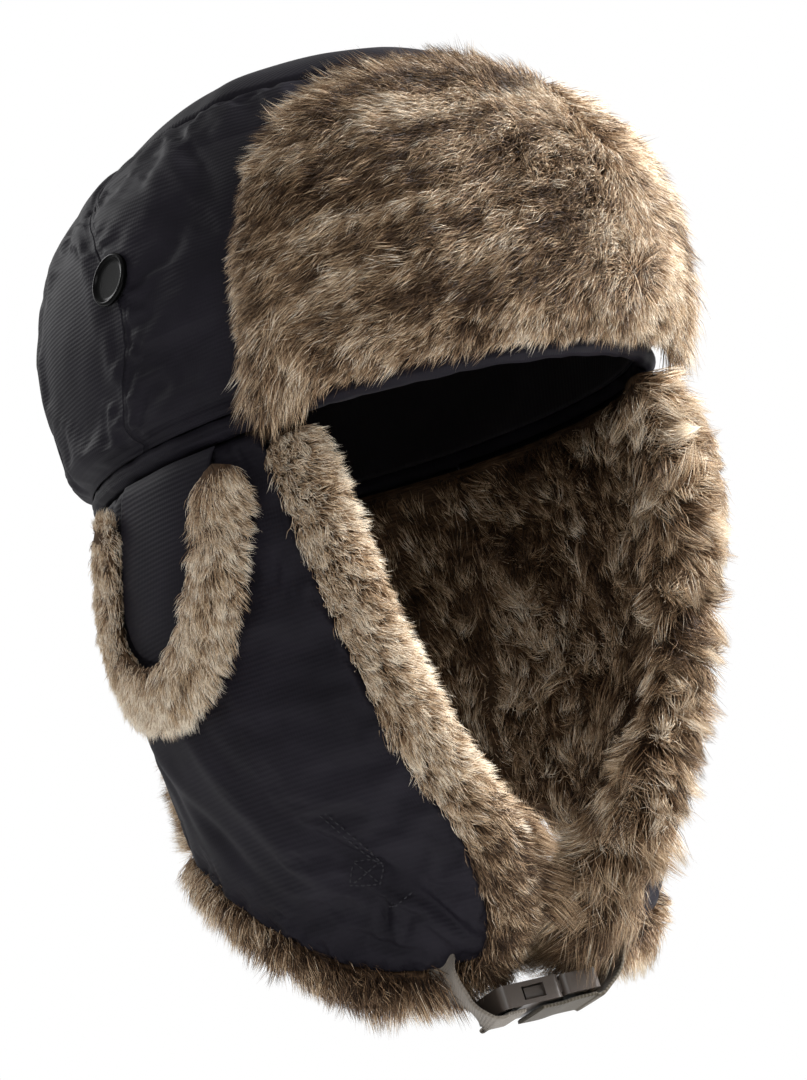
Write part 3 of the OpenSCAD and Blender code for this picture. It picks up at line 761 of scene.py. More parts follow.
def lining_piece():
    rows, cols = 90, 240
    a = all_round(rows, cols)
    u = np.linspace(CENTRE, HEM_U, rows)[:, None] + np.zeros((1, cols))
    P, Q = crown(a, u, -7.4), crown(a, u, -5.6)
    s = a * PI / 180 * 100
    # Quilting: two sets of stitched lines cross in diamonds.
    d1, d2 = (np.abs(np.sin((s + way * P[..., 2] * 1.3) * PI / 36)) for way in (1, -1))
    h = 1.3 * (np.minimum(d1, d2) ** 0.5) * (u < 0.93)
    inner = P - unit(P * np.array([1, 1, 1.2])) * h[..., None] * 0.9
    cloth = np.stack([s, P[..., 2] * 1.3, 0 * s], -1)
    o = slab("crown_quilted_lining", Q, inner, LINING, cloth=cloth, wrap=True)
    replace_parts(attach(o, "crown"), "crown_lining")


def band_piece():
    rows, cols = 24, 240
    a = all_round(rows, cols)
    k = np.linspace(0, 1, rows)[:, None] + np.zeros((1, cols))
    P = crown(a, lerp(HEM_U + (TOP_SEAM - HEM_U) / 4, HEM_U, k), -8.6)
    bulge = np.sin(PI * k)
    h = 0.8 * bulge ** 0.5 + 0.2 * np.sin(a * PI / 180 * 60) * bulge + 0.25 * noise(P / 8.0, 12)
    inner = P - unit(P * np.array([1, 1, 0])) * (0.6 + h)[..., None]
    cloth = np.stack([a * PI / 180 * 95, P[..., 2], 0 * a], -1)
    o = slab("sweatband_cloth", P, inner, BAND, cloth=cloth, wrap=True)
    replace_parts(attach(o, "crown"), "sweatband")


def label_piece():
    lo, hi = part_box("size_label")
    w = (hi.x - lo.x) / MM
    g = np.linspace(0, 1, 16)
    x = lerp(-w / 2, w / 2, g)[None, :] + np.zeros((16, 1))
    z = lerp(hi.z / MM, lo.z / MM, g)[:, None] + np.zeros((1, 16))
    a = 90 - np.degrees(x / 118)
    cloth = np.stack([x, z, 0 * x], -1)
    o = slab("size_label_tape", crown(a, crown_u(z), -8.9), crown(a, crown_u(z), -9.4), TAPE, cloth=cloth)
    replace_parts(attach(o, "crown"), "size_label")


def hem_piece():
    a = np.linspace(0, 360, 360, endpoint=False)
    flat = np.zeros_like(a)
    p = crown(a, flat, -HEM_R)
    out = unit(p * np.array([1, 1, 0]))
    f = np.linspace(0, 2 * PI, 20, endpoint=False)
    twist = noise(np.stack([a / 5, flat, flat], -1), 8)
    r = HEM_R + 0.9 + 0.25 * noise(np.stack([a / 7.0, flat + 3, flat], -1), 9)
    up = np.array([0, 0, 1.0])
    rings = (p + up * HEM_R)[:, None] + out[:, None] * (r[:, None] * np.cos(f))[..., None] \
        + up * ((r[:, None] + 0.3) * np.sin(f))[..., None]
    ridge = 0.18 * np.sin(3 * f[None, :] + a[:, None] * PI / 180 * 40 + 2 * twist[:, None])
    rings = rings + out[:, None] * (ridge * np.cos(f))[..., None] + up * (ridge * np.sin(f))[..., None]
    arc = a * PI / 180 * 105
    cloth = np.stack([arc[:, None] + 0 * f, f[None, :] * HEM_R + 0 * arc[:, None], 0 * rings[..., 0]], -1)
    o = tube("hem_roll_cloth", rings[:, ::-1], SHELL, wrap=True, cloth=cloth.reshape(-1, 3))
    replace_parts(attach(o, "crown"), "hem_roll")


def lathe(name, profile, origin, axis, mat, n=96):
    """A turned piece: profile is (radius, height) pairs along axis from origin, in mm."""
    z = unit(axis)
    x = unit(np.cross(z, (0.1, 0.2, 1.0)))
    y = np.cross(z, x)
    f = np.linspace(0, 2 * PI, n, endpoint=False)
    r, height = np.asarray(profile, float).T[:, :, None, None]
    spoke = x[None] * np.cos(f)[:, None] + y[None] * np.sin(f)[:, None]
    return tube(name, origin + z * height + spoke[None] * r, mat)


def button_piece(side, tag):
    u = float(crown_u(BUTTON_Z))
    along = crown(BUTTON_A + 1, u) - crown(BUTTON_A - 1, u)
    out = unit(np.cross(along, crown(BUTTON_A, u + 0.01) - crown(BUTTON_A, u - 0.01))) * mirror(side)
    at = crown(BUTTON_A, u) * mirror(side)
    # A raised rim round a flat face, as distances in from the edge and heights off the cloth.
    rim = [(1.2, 0.9), (0.5, 1.1), (0.1, 1.6), (0, 2.3), (0.15, 2.9), (0.5, 3.25), (0.95, 3.38), (1.4, 3.2),
           (1.8, 2.75), (2.2, 2.42), (2.8, 2.28), (3.6, 2.24)]
    profile = [(0.5, 0.9)] + [(BUTTON_R - d, h) for d, h in rim] + [(1.0, 2.22), (0.2, 2.22)]
    fine = spline(profile, np.linspace(0, 1, 60))
    o = lathe(f"side_button_{tag}_cap", fine, at, out, BUTTON)
    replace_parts(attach(o, "crown"), f"side_button_{tag}")
    # The thread shank that holds the button off the cloth.
    waist = [(1.6, -0.4), (1.8, 0.2), (1.7, 0.9), (0.5, 1.0)]
    shank = lathe(f"side_button_{tag}_shank", waist, at, out, THREAD, 24)
    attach(shank, "crown")


# ---------- skirt: ear flaps and neck curtain ----------

# The larger folds of the right ear panel gather towards the strap at its tip.
SKIRT_FOLDS = [
    ((-84, -30, -118), (0.3, -0.45, -0.85), 40, 4.0, -3.5),
    ((-84, -20, -126), (0.3, -0.4, -0.85), 42, 6.0, 3.0),
    ((-84, 4, -136), (0.35, -0.6, -0.7), 30, 5.0, -2.4),
    ((-70, -46, -146), (0.35, -0.5, -0.8), 24, 3.0, -3.0),
    ((-63, -41, -170), (-0.1, 0.35, -0.95), 10, 2.0, -3.2),
    ((-60, -42, -172), (-0.1, 0.35, -0.95), 10, 2.0, 2.4),
    ((-60, -49, -166), (0.55, -0.45, -0.65), 16, 2.2, 2.4),
    ((-46, -54, -175), (0.65, 0.1, -0.75), 15, 2.4, -3.2),
    ((-49, -51, -178), (0.65, 0.1, -0.75), 15, 3.0, 2.4),
    ((-56, -36, -180), (0.8, -0.35, -0.3), 18, 3.0, -2.2),
    ((-92, -40, -40), (-0.05, -0.3, -0.95), 34, 8.0, -2.2),
    ((-88, -52, -60), (0.1, -0.2, -0.95), 36, 6.0, 1.9),
    ((-84, -64, -48), (0.1, -0.15, -0.95), 30, 4.0, -1.6),
    ((-90, 20, -104), (0.2, -0.6, -0.6), 30, 6.0, 1.6),
    ((-88, 40, -96), (0.1, -0.3, -0.9), 26, 5.0, -1.6)]

# What differs between the flaps' fur. The left one's longer locks show inside and curl in at the chin.
FLAP_FUR = {
    "right": dict(inside=9000, edge=31000, wide=0.88, far=0.0, tip=15.0, foot=15.0, grow=4, chin=28.0,
                  chin_hairs=6499, toward=1, chin_tone=0.4, lift=0.5, clump=4.5, pull=0.6, whorl=0.45,
                  # Painted shade: the right flap's edge hair darkens from z = -110 mm down to z = -170 mm,
                  # towards the flap's foot.
                  tone=lambda R: 1.8 - 3.2 * smooth((-110 - R[:, 2]) / 60)),
    "left": dict(inside=28000, edge=28000, wide=1.6, far=0.75, tip=26.0, foot=11.0, grow=7, chin=31.0,
                 chin_hairs=6500, toward=0.9, chin_tone=-0.2, lift=0.4, clump=8.5, pull=0.82, whorl=0.65,
                 tone=0.1)}


def skirt_relief(t, v, P, side):
    """Height in mm of the skirt's cloth, whose points P lie on the flap of this side."""
    Q = P * mirror(side)
    h = 0.8 * noise(Q / 30.0, 21 + side) + 0.3 * noise(Q / 12.0, 25 + side)
    for fold in SKIRT_FOLDS:
        h = h + wrinkle(Q, *fold)
    return h + 1.4 * bell(1 - t, 0.10) * smooth(v * 4) - 1.2 * bell(v, 0.02)


def skirt_cloth(P):
    c = cloth_of(P)
    c[..., 1] = -P[..., 2] * 1.05
    return c


def ear_flap_cloth(side, tag):
    rows, cols = 170, 150
    v = np.linspace(0.003, 0.998, rows)
    st = split_t(v) + 0.003
    t = lerp(st[:, None], 0.998, np.linspace(0, 1, cols)[None, :])
    V = v[:, None] + np.zeros((1, cols))
    P = skirt_mid(t, V)
    N = skirt_frame(t, V)[0]
    h = skirt_relief(t, V, P * mirror(side), side)
    slack = settle(P + N * h[..., None], 0.045, 0.7, 2.8, seed=60)
    rim = np.minimum(np.minimum((1 - t) * 110, (1 - V) * 160),
                     np.minimum((t - st[:, None]) * 250, V * 150))
    h = h - 2.4 * np.exp(-np.clip(rim, 0, None) / 1.6)
    outer, inner = place(P + slack + N * h[..., None], side), place(P - N * 5.0, side)
    inner[0] += CLOTH_RISE
    o = flap_slab(f"ear_flap_{tag}_cloth", outer, inner, SHELL, side, cloth=skirt_cloth)
    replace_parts(o, f"ear_flap_{tag}_shell", f"ear_flap_{tag}_wadding")
    hinge(o)


def ear_flap_lining(side, tag):
    """Inside the flap: the fur's backing and under-fur, and the long hairs on it."""
    rows, cols = 60, 56
    v = np.linspace(0.01, 0.985, rows)
    st = split_t(v) + 0.006 - 0.018 * (1 - smooth(v / 0.12))
    t = lerp(st[:, None], 0.985, np.linspace(0, 1, cols)[None, :])
    V = v[:, None] + np.zeros((1, cols))
    P = skirt_mid(t, V)
    N, F, W = skirt_frame(t, V)
    P[0] += FUR_RISE
    pile = P + N * (UNDER_D + 1.2 * noise(P / 7.0, 41))[..., None]
    back, pile = place(P + N * LINING_D, side), place(pile, side)
    o = flap_slab(f"ear_flap_{tag}_under_fur", back, pile, UNDER, side)
    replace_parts(o, f"ear_flap_{tag}_fur")
    hinge(o)
    locks = 13.0 if side < 0 else 15.0 + 9.0 * smooth((t - 0.45) / 0.35) * smooth((V - 0.1) / 0.3)
    s = mirror(side)
    inside = patch(place(P + N * ROOT_D, side), -N * s, (W * 0.9 + F * 0.35) * s, locks)
    fur_pieces(f"ear_flap_{tag}_fur_inside", inside, FLAP_FUR[tag]["inside"], f"ear_flap_{tag}",
               300 + side, hinged=tag, lift=0.5, clump=9.0, pull=0.82, whorl=0.65, width=0.34, stray=0.16,
               tone=-0.5)


def ear_flap_rear_fringe(side, tag):
    """The pile that stands out behind the flap's rear edge."""
    vs = np.linspace(0.52, 0.985, 50)[:, None] + np.zeros((1, 5))
    ts = split_t(vs[:, 0])[:, None] + np.linspace(0.004, 0.03, 5)[None, :]
    N, F, W = skirt_frame(ts, vs)
    root = skirt_mid(ts, vs) - N * np.linspace(5.0, 6.0, 5)[None, :, None]
    s = mirror(side)
    rear = patch(place(root, side), (N * 0.3 - F) * s, (N * 1.1 - F * 0.75 + W * 0.7) * s,
                 4.0 + 11.0 * smooth((vs - 0.5) / 0.2))
    fur_pieces(f"ear_flap_{tag}_rear_fringe", rear, 5000, f"ear_flap_{tag}", 400 + side,
               lift=0.5, clump=4.0, pull=0.5, whorl=0.4, width=0.28, tone=0.8)


EDGE_V = np.linspace(0.03, 0.94, 60)


def edge_line():
    """The middle of the fur strip down the front of the right flap and back along its foot.

    Answers its points, the ways out from the flap's border and up off the strip, the skirt's outward
    way, half the strip's width and the way its hair is combed, each as one row for each point."""
    vs, ts = EDGE_V, np.linspace(0.94, 0.24, 70)
    one = np.array(1.0)
    N1, F1, W1 = skirt_frame(np.ones_like(vs), vs)
    front = skirt_mid(np.ones_like(vs), vs) + N1 * EDGE_D + F1 * (7.4 - 2.6 * vs ** 3)[:, None]
    Nt, Ft, Wt = skirt_frame(one, one)
    tip = skirt_mid(one, one) + Nt * EDGE_D + unit(Ft + Wt) * 5.5
    N2, F2, W2 = skirt_frame(ts, np.ones_like(ts))
    low = skirt_mid(ts, np.ones_like(ts)) + N2 * EDGE_D + W2 * 3.4
    keep = low[:, 1] < SPLIT_Y - 1.5
    low, N2, F2, W2 = (x[keep] for x in (low, N2, F2, W2))
    path = np.concatenate([front, tip[None], low])
    for _ in range(3):
        path[1:-1] = (path[:-2] + path[1:-1] * 2 + path[2:]) / 4
    ups = np.concatenate([N1, Nt[None], N2])
    away = np.concatenate([F1, unit(Ft + Wt)[None], W2])
    half = np.concatenate([8.2 - 2.4 * (vs / 0.94) ** 4, [5.4], np.full(len(low), 3.6)])
    down = np.concatenate([W1, unit(Wt - 0.2 * Ft)[None], unit(W2 * 0.9 + F2 * 0.35)])
    d = unit(np.gradient(path, axis=0))
    out = unit(np.cross(d, ups))
    out = out * np.sign((out * away).sum(1, keepdims=True))
    up = unit(ups - (ups * d).sum(1, keepdims=True) * d)
    return path, out, up, ups, half, down


def ear_flap_edge(side, tag):
    """The rolled fur strip along the flap's front, which is narrower along its foot."""
    path, out, up, ups, half, down = edge_line()
    look = FLAP_FUR[tag]
    f = np.linspace(0, 2 * PI, 29)
    G = path[:, None] + out[:, None] * (half[:, None] * np.cos(f))[..., None] \
        + up[:, None] * (EDGE_T * np.sin(f))[None, :, None]
    NG = unit(out[:, None] * np.cos(f)[None, :, None] / half[:, None, None] * EDGE_T
              + up[:, None] * np.sin(f)[None, :, None])
    core = place(G + NG * (0.6 * noise(G / 4.0, 51))[..., None], side)[:, :-1]
    o = tube(f"ear_flap_{tag}_edge_under_fur", core if side < 0 else core[:, ::-1], UNDER)
    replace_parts(o, f"ear_flap_{tag}_edge")
    hinge(o)
    n_low = len(path) - len(EDGE_V) - 1
    curl_in = smooth((EDGE_V - 0.55) / 0.3) * (side > 0)
    foot = np.full(n_low, look["foot"]) + look["grow"] * smooth(np.linspace(1, -1.2, n_low))
    reach = np.concatenate([11.5 * look["wide"] + 10 * curl_in, [look["tip"]], foot])
    inward = np.concatenate([curl_in, [side > 0], np.zeros(n_low)])[:, None, None]
    far = look["far"]
    D = down[:, None] * (0.95 + 0.5 * far) + out[:, None] * (0.6 - 0.35 * far) + NG * (0.3 + 0.15 * far) \
        + ups[:, None] * far * 0.6 * (1 - inward) + out[:, None] * inward * 1.1
    W = np.clip(0.62 + 0.45 * np.cos(f)[None, :] + 0.45 * np.sin(f)[None, :], 0.2, 1.2) + 0 * G[..., 0]
    W[len(EDGE_V):] *= 0.9
    s = mirror(side)
    edge = patch(place(G, side), NG * s, D * s, reach[:, None] + 0 * W, W)
    # tone carries the right flap's painted shade, darker towards its foot.
    how = {key: look[key] for key in ("lift", "clump", "pull", "whorl", "tone")}
    fur_pieces(f"ear_flap_{tag}_edge_fur", edge, look["edge"], f"ear_flap_{tag}", 500 + side,
               hinged=tag, bend=0.9, width=0.27, stray=0.2, **how)


def ear_flap_chin_fringe(side, tag):
    """Under the chin the pile of the two flaps meets."""
    path, out, up, _, half, _ = edge_line()
    pick = slice(30, len(EDGE_V) + 9)
    path, out, up, half = path[pick], out[pick], up[pick], half[pick]
    fan = np.linspace(-0.5, 0.5, 4)[None, :, None]
    root = path[:, None] - up[:, None] * EDGE_T * 0.7 + out[:, None] * fan * half[:, None, None]
    toward = np.array([1.0, -0.15, -0.45]) * FLAP_FUR[tag]["toward"]
    size = FLAP_FUR[tag]["chin"] * smooth(np.linspace(0.3, 1.6, len(root)))[:, None] + 0 * root[..., 0]
    s = mirror(side)
    chin = patch(place(root, side), (-up[:, None] + 0 * root) * s, (toward + 0 * root) * s, size)
    fur_pieces(f"ear_flap_{tag}_chin_fringe", chin, FLAP_FUR[tag]["chin_hairs"],
               f"ear_flap_{tag}", 550 + side, lift=0.3, clump=6.0, pull=0.7, whorl=0.4, width=0.3,
               tone=FLAP_FUR[tag]["chin_tone"])


# Rows of stitches on the ear panel at (t, v) points, each with the length of its stitches in mm:
# two lines down the panel, a crossed box where the strap is sewn in, and a short line at the tip.
SEWN = [(0.749, 0.408), (0.806, 0.538), (0.86, 0.699)]
BOX = [(0.808, 0.699), (0.86, 0.699), (0.841, 0.746), (0.789, 0.746), (0.808, 0.699)]
STITCHED = [(SEWN, 2.6), ([(t - 0.012, v + 0.006) for t, v in SEWN], 2.6), (BOX, 2.2),
            (BOX[0:3:2], 2.2), (BOX[1:4:2], 2.2), ([(0.838, 0.80), (0.892, 0.766)], 2.2)]


def stitches(side, tag):
    """Short raised stitches of thread along lines on the ear panel."""
    verts, faces = [], []
    around, along = 6, 5
    radius = 0.3 * np.array([0.3, 0.9, 1.0, 0.9, 0.3])
    for line, step in STITCHED:
        line = np.asarray(line, float)
        k = np.linspace(0, 1, 200) * (len(line) - 1)
        t, v = (np.interp(k, np.arange(len(line)), line[:, c]) for c in (0, 1))
        P, N = skirt_mid(t, v), skirt_frame(t, v)[0]
        P = P + N * (skirt_relief(t, v, P * mirror(side), side) + 0.35)[:, None]
        arc = np.concatenate([[0], np.cumsum(np.linalg.norm(np.diff(P, axis=0), axis=1))])
        for at in np.arange(0.4, arc[-1] - step * 0.7, step):
            x = np.linspace(at, at + step * 0.66, along)
            c, n = (np.stack([np.interp(x, arc, G[:, i]) for i in range(3)], -1) for G in (P, N))
            ring = sweep(c - unit(n) * 0.1, unit(n), radius, radius, n=around)
            base = len(verts) * along * around
            verts.append(place(ring.reshape(-1, 3), side))
            faces.append(quads(along, around, True) + base)
            faces.append(np.array([[5, 4, 3, 2], [5, 2, 1, 0]]) + base)
            faces.append(np.array([[24, 25, 26, 27], [24, 27, 28, 29]]) + base)
    o = build(f"ear_flap_{tag}_stitches", np.concatenate(verts), [np.concatenate(faces)], [THREAD])
    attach(o, f"ear_flap_{tag}")


def curtain_cloth():
    rows, cols = 90, 180
    v = np.linspace(0.003, 0.998, rows)
    st = split_t(v) - 0.003
    t = st[:, None] * np.linspace(-1, 1, cols)[None, :]
    V = v[:, None] + np.zeros((1, cols))
    P = skirt(t, V)
    N = mirrored_frame(t, V)[0]
    h = 0.9 * noise(P / 28.0, 61) + 0.35 * noise(P / 11.0, 62) + 1.2 * np.sin(t * 16) * smooth(V * 1.5) \
        - 1.2 * bell(V, 0.03)
    slack = settle(P + N * h[..., None], 0.045, 0.7, 2.6, seed=61)
    rim = np.minimum((1 - V) * 98, np.minimum((st[:, None] - np.abs(t)) * 250, V * 98))
    h = h - 2.2 * np.exp(-np.clip(rim, 0, None) / 1.6)
    outer, inner = P + slack + N * h[..., None], P - N * 5.0
    inner[0] += CLOTH_RISE
    o = slab("neck_curtain_cloth", outer, inner, SHELL, cloth=skirt_cloth(outer))
    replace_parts(o, "neck_curtain_shell", "neck_curtain_wadding")
    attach(o, "crown")


def curtain_lining():
    rows, cols = 34, 70
    v = np.linspace(0.01, 0.999, rows)
    t = (split_t(v) - 0.006)[:, None] * np.linspace(-1, 1, cols)[None, :]
    V = v[:, None] + np.zeros((1, cols))
    P = skirt(t, V)
    N, W = mirrored_frame(t, V)
    P[0] += FUR_RISE
    pile = P + N * (UNDER_D + 1.2 * noise(P / 7.0, 63))[..., None]
    o = slab("neck_curtain_under_fur", P + N * LINING_D, pile, UNDER)
    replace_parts(o, "neck_curtain_fur")
    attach(o, "crown")
    inside = patch(P + N * ROOT_D, -N, W, 13.0)
    fur_pieces("neck_curtain_fur_inside", inside, 12000, "crown", 700, lift=0.45, clump=6.0,
               pull=0.6, whorl=0.45, width=0.36)


def curtain_edge():
    ts = np.linspace(-0.46, 0.46, 90)
    N, W = mirrored_frame(ts, np.ones_like(ts))
    path = skirt(ts, np.ones_like(ts), np.full(len(ts), CURTAIN_EDGE_D)) + W * 2.6
    keep = path[:, 1] > SPLIT_Y + 1.5
    path, N, W = path[keep], N[keep], W[keep]
    f = np.linspace(0, 2 * PI, 25)
    cos, sin = np.cos(f)[None, :, None], np.sin(f)[None, :, None]
    G = path[:, None] + (W[:, None] * cos * 6 + N[:, None] * sin * 7.4) * 0.62
    NG = unit(G - path[:, None])
    o = tube("neck_curtain_edge_under_fur", (G + NG * (0.6 * noise(G / 4.0, 64))[..., None])[:, :-1], UNDER)
    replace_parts(o, "neck_curtain_edge")
    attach(o, "crown")
    weight = np.clip(0.6 + 0.5 * np.cos(f)[None, :], 0.15, 1.2) + 0 * G[..., 0]
    edge = patch(G, NG, W[:, None] + NG * 0.4, 17.0, weight)
    fur_pieces("neck_curtain_edge_fur", edge, 11000, "crown", 720, lift=0.45, clump=4.0,
               pull=0.5, width=0.3)


# ---------- forehead flap ----------

def brow_grid():
    """Where the forehead flap's points lie: p across it and q up it."""
    rows, cols = 60, 120
    p = np.linspace(-0.985, 1, cols)[None, :] + np.zeros((rows, 1))
    q = np.linspace(1, 0, rows)[:, None] + np.zeros((1, cols))
    return p, q


def brow_top(p, q):
    """The top of the flap's under-fur, which thins towards its rounded border."""
    thick = 8.5 - 4.0 * q ** 3
    edge = np.clip(np.minimum((1 - np.abs(p)) * 10, np.minimum(q, 1 - q) * 11), 0, 1) ** 0.5
    G = brow(p, q, 3.0 + thick * (0.25 + 0.75 * edge))
    return G, unit(np.cross(np.gradient(G, axis=1), -np.gradient(G, axis=0)))


def forehead_cloth():
    p, q = brow_grid()
    o = slab("forehead_flap_backing_cloth", brow(p, q, 2.6), brow(p, q, 0.9), SHELL)
    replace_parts(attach(o, "forehead_flap"), "forehead_flap_backing")
    G, N = brow_top(p, q)
    o = slab("forehead_flap_under_fur", G + N * (0.5 * noise(G / 5.0, 71))[..., None], brow(p, q, 2.9), UNDER)
    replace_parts(o, "forehead_flap_fur")
    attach(o, "forehead_flap")


def forehead_hair():
    p, q = brow_grid()
    G, N = brow_top(p, q)
    P = brow(p, q, 3.0)
    along, down = unit(np.gradient(P, axis=1)), unit(np.gradient(P, axis=0))
    sway = (0.30 + 0.6 * noise(P / 22.0, 72))[..., None]
    D = along * np.tanh(4 * (p - 0.55))[..., None] + down * sway
    # At the rim the hair turns outward, most at the two lower corners.
    corner = smooth((-0.7 - p) * 5) * smooth((0.3 - q) * 5)
    end = smooth((p - 0.82) * 7) * smooth((0.4 - q) * 4)
    out = along * (smooth((p - 0.86) * 8) * (1 - 0.6 * end))[..., None] \
        + down * (0.6 * smooth((0.12 - q) * 9) + 1.9 * corner - 0.9 * smooth((q - 0.86) * 9))[..., None]
    D = D + out * 1.1 + down * (1.5 * end)[..., None]
    L = 14.0 + 6.0 * corner + 9.0 * end \
        - (6.0 * smooth((-0.82 - p) * 7) + 3.5 * smooth((0.2 - q) * 6)) * (1 - corner) * (1 - end)
    # Painted light and shade: the hair's tone rises from the wearer's right (-X) to the wearer's left (+X),
    # the side the key lamp lights.
    fur_pieces("forehead_flap_fur_long", patch(G, N, D, L), 72000, "forehead_flap", 900,
               tone=lambda R: -0.5 + 1.3 * smooth((R[:, 0] - 5) / 60), lift=0.42, clump=4.5, pull=0.62,
               whorl=0.42, width=0.24, stray=0.16, streak=(24.0, 4.0))


# ---------- ear port flaps ----------

def port_cloth(side, tag):
    rows, cols = 50, 60
    k = np.linspace(-0.985, 0.985, cols)[None, :] + np.zeros((rows, 1))
    r = np.linspace(0, 1, rows)[:, None] + np.zeros((1, cols))
    length = PORT_LEN - PORT_END + PORT_END * np.sqrt(1 - k * k)
    t, v = port_tv((PORT_HALF - PORT_SHIFT) * k + PORT_SHIFT, (length - 3) * r)
    P = skirt(t, v, 2.6)
    N = skirt_frame(t, v)[0]
    h = 1.6 + 0.5 * noise(P / 16.0, 81) + 1.0 * (1 - k * k) * np.sin(PI * r) - 1.0 * bell(r * 50, 3)
    outer = place(P + N * h[..., None], side)
    o = flap_slab(f"port_flap_{tag}_cloth", outer, place(P, side), SHELL, side, cloth=skirt_cloth)
    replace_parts(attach(o, f"port_flap_{tag}"), f"port_flap_{tag}_shell")


def port_fur(side, tag):
    """The U of fur round the flap."""
    body = f"port_flap_{tag}"
    straight = PORT_LEN - PORT_END
    hw, hl = PORT_HALF + 8.6, PORT_END + 8.6
    f = np.linspace(PI, 0, 50)
    lead = np.linspace(7.5, straight, 14)[:-1]
    S = np.concatenate([np.full(13, -hw), hw * np.cos(f), np.full(13, hw)])
    S = S * (hw - PORT_SHIFT) / hw + PORT_SHIFT
    t, v = port_tv(S, np.concatenate([lead, straight + (hl - 3) * np.sin(f), lead[::-1]]))
    path = skirt(t, v, np.full(len(S), 6.6))
    ups = skirt_frame(t, v)[0]
    d = unit(np.gradient(path, axis=0))
    out = unit(np.cross(d, ups))
    mid = skirt(*port_tv(np.zeros(1), np.full(1, straight * 0.6)), np.full(1, 6.6))
    out = out * np.sign((out * (path - mid)).sum(1, keepdims=True))
    up = unit(ups - (ups * d).sum(1, keepdims=True) * d)
    g = np.linspace(0, 2 * PI, 27)
    cos, sin = np.cos(g)[None, :, None], np.sin(g)[None, :, None]
    thick = np.minimum(1, 0.25 + np.sin(np.linspace(0, 1, len(S)) * PI) * 7)[:, None, None]
    G = path[:, None] + out[:, None] * cos * 9.2 * thick ** 0.5 + up[:, None] * sin * 3.4 * thick
    NG = unit(out[:, None] * cos * 0.5 + up[:, None] * sin)
    core = place(G + NG * (0.4 * noise(G / 4.0, 83))[..., None], side)
    o = tube(f"port_flap_{tag}_under_fur", core[:, :-1], UNDER)
    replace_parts(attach(o, body), f"port_flap_{tag}_fur")
    rear = smooth(-S / 30)[:, None]
    reach = 10.5 - 5.0 * rear + 0 * g[None, :]
    D = out[:, None] * (0.75 - 0.5 * rear[..., None]) * (0.35 + 0.65 * cos) + 0 * G
    D = D + np.array([0, 0.15, -1.0]) * 0.8
    W = np.clip(0.6 + 0.15 * np.cos(g)[None, :] + 0.6 * np.sin(g)[None, :], 0.25, 1.2) + 0 * G[..., 0]
    # At the two ends of the U the hair is denser and covers the cut.
    first, last = smooth(1 - np.arange(len(S)) / 5), smooth(1 - np.arange(len(S))[::-1] / 5)
    D = D + (last * 0.4 - first * 1.5)[:, None, None] * d[:, None]
    W = W * (1 + 1.6 * first + 0.6 * last)[:, None]
    s = mirror(side)
    fur_pieces(f"port_flap_{tag}_fur_long", patch(place(G, side), NG * s, D * s, reach, W),
               18000 if side < 0 else 13000, body, 1100 + side, lift=0.45, clump=4.5,
               pull=0.55, whorl=0.4, width=0.24, tone=2.1, stray=0.18)


# ---------- chin strap, buckle and small plastics ----------

def strap(side, tag, mat):
    """Webbing that comes down inside the flap, its outer face to the front, then turns under the chin."""
    up = np.array([0, -math.sin(BUCKLE_TILT), math.cos(BUCKLE_TILT)])
    bar_x = 19 - 3.6 + BUCKLE[0] - PULL * BUCKLE[2] if side > 0 else 20 - 3.6 - BUCKLE[0]
    lift = 4 + 0.8 + 0.5
    under = lambda x: np.array([-x, BUCKLE[1], BUCKLE[2]]) + up * lift
    through = [under(bar_x + 4.5), under(bar_x + 1.5)]
    if side < 0:
        path = [(-48.5, -31, -172), (-47.5, -33, -182), (-46, -38, -193), (-42.5, -43, -202)] + through \
            + [under(bar_x - 5)]
    else:
        path = [(-43, -36, -177), (-42, -38, -186), (-39, -41, -195), (-34, -44, -202)] + through \
            + [under(bar_x - 6), under(bar_x - 12) + up * 0.5, under(bar_x - 20) + up * 0.4]
    outer = unit(np.array([-0.75, -0.6, -0.1]))
    ups = [outer, outer, unit(outer * 2 + up), unit(outer + up * 2)] + [up] * (len(path) - 4)
    n, around = 90, 40
    fine = resample(path, n)
    rings = place(sweep(fine, unit(spline(ups, np.linspace(0, 1, n))), 10.0, 0.8, n=around, power=0.35), side)
    along = np.linspace(0, 75, n)[:, None] + np.zeros((1, around))
    across = np.broadcast_to(np.cos(np.linspace(0, 2 * PI, around, endpoint=False)) * 10, along.shape)
    cloth = np.concatenate([np.stack([along, across, 0 * along], -1).reshape(-1, 3), np.zeros((2, 3))])
    o = tube(f"chin_strap_{tag}_webbing", rings if side < 0 else rings[:, ::-1], mat, cloth=cloth)
    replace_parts(o, f"chin_strap_{tag}")
    if side < 0:
        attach(o, "ear_flap_right")
    else:
        tuple(place(fine[6], side) * MM)
        tuple(place(fine[34], side) * MM)
        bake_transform(o)


def recolour(name, mat):
    """Gives a piece of the frame its own material."""
    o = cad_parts[name]
    o.data.materials.clear()
    o.data.materials.append(mat)
    return o


def soften(o):
    """Small round edges on a moulded piece."""
    o.modifiers.new("weld", "WELD").merge_threshold = 1e-5
    bevel = o.modifiers.new("bevel", "BEVEL")
    bevel.width, bevel.segments, bevel.limit_method = 0.0004, 2, "ANGLE"
    bevel.angle_limit = math.radians(40)
    bevel.harden_normals = True


# ---------- stage ----------

def floor():
    bpy.ops.mesh.primitive_plane_add(size=12, location=(0, 0, -0.62))
    o = bpy.context.object
    o.name = "stage_floor"
    o.data.materials.append(principled("stage_paper", linear(240, 240, 240), 0.9)[0])


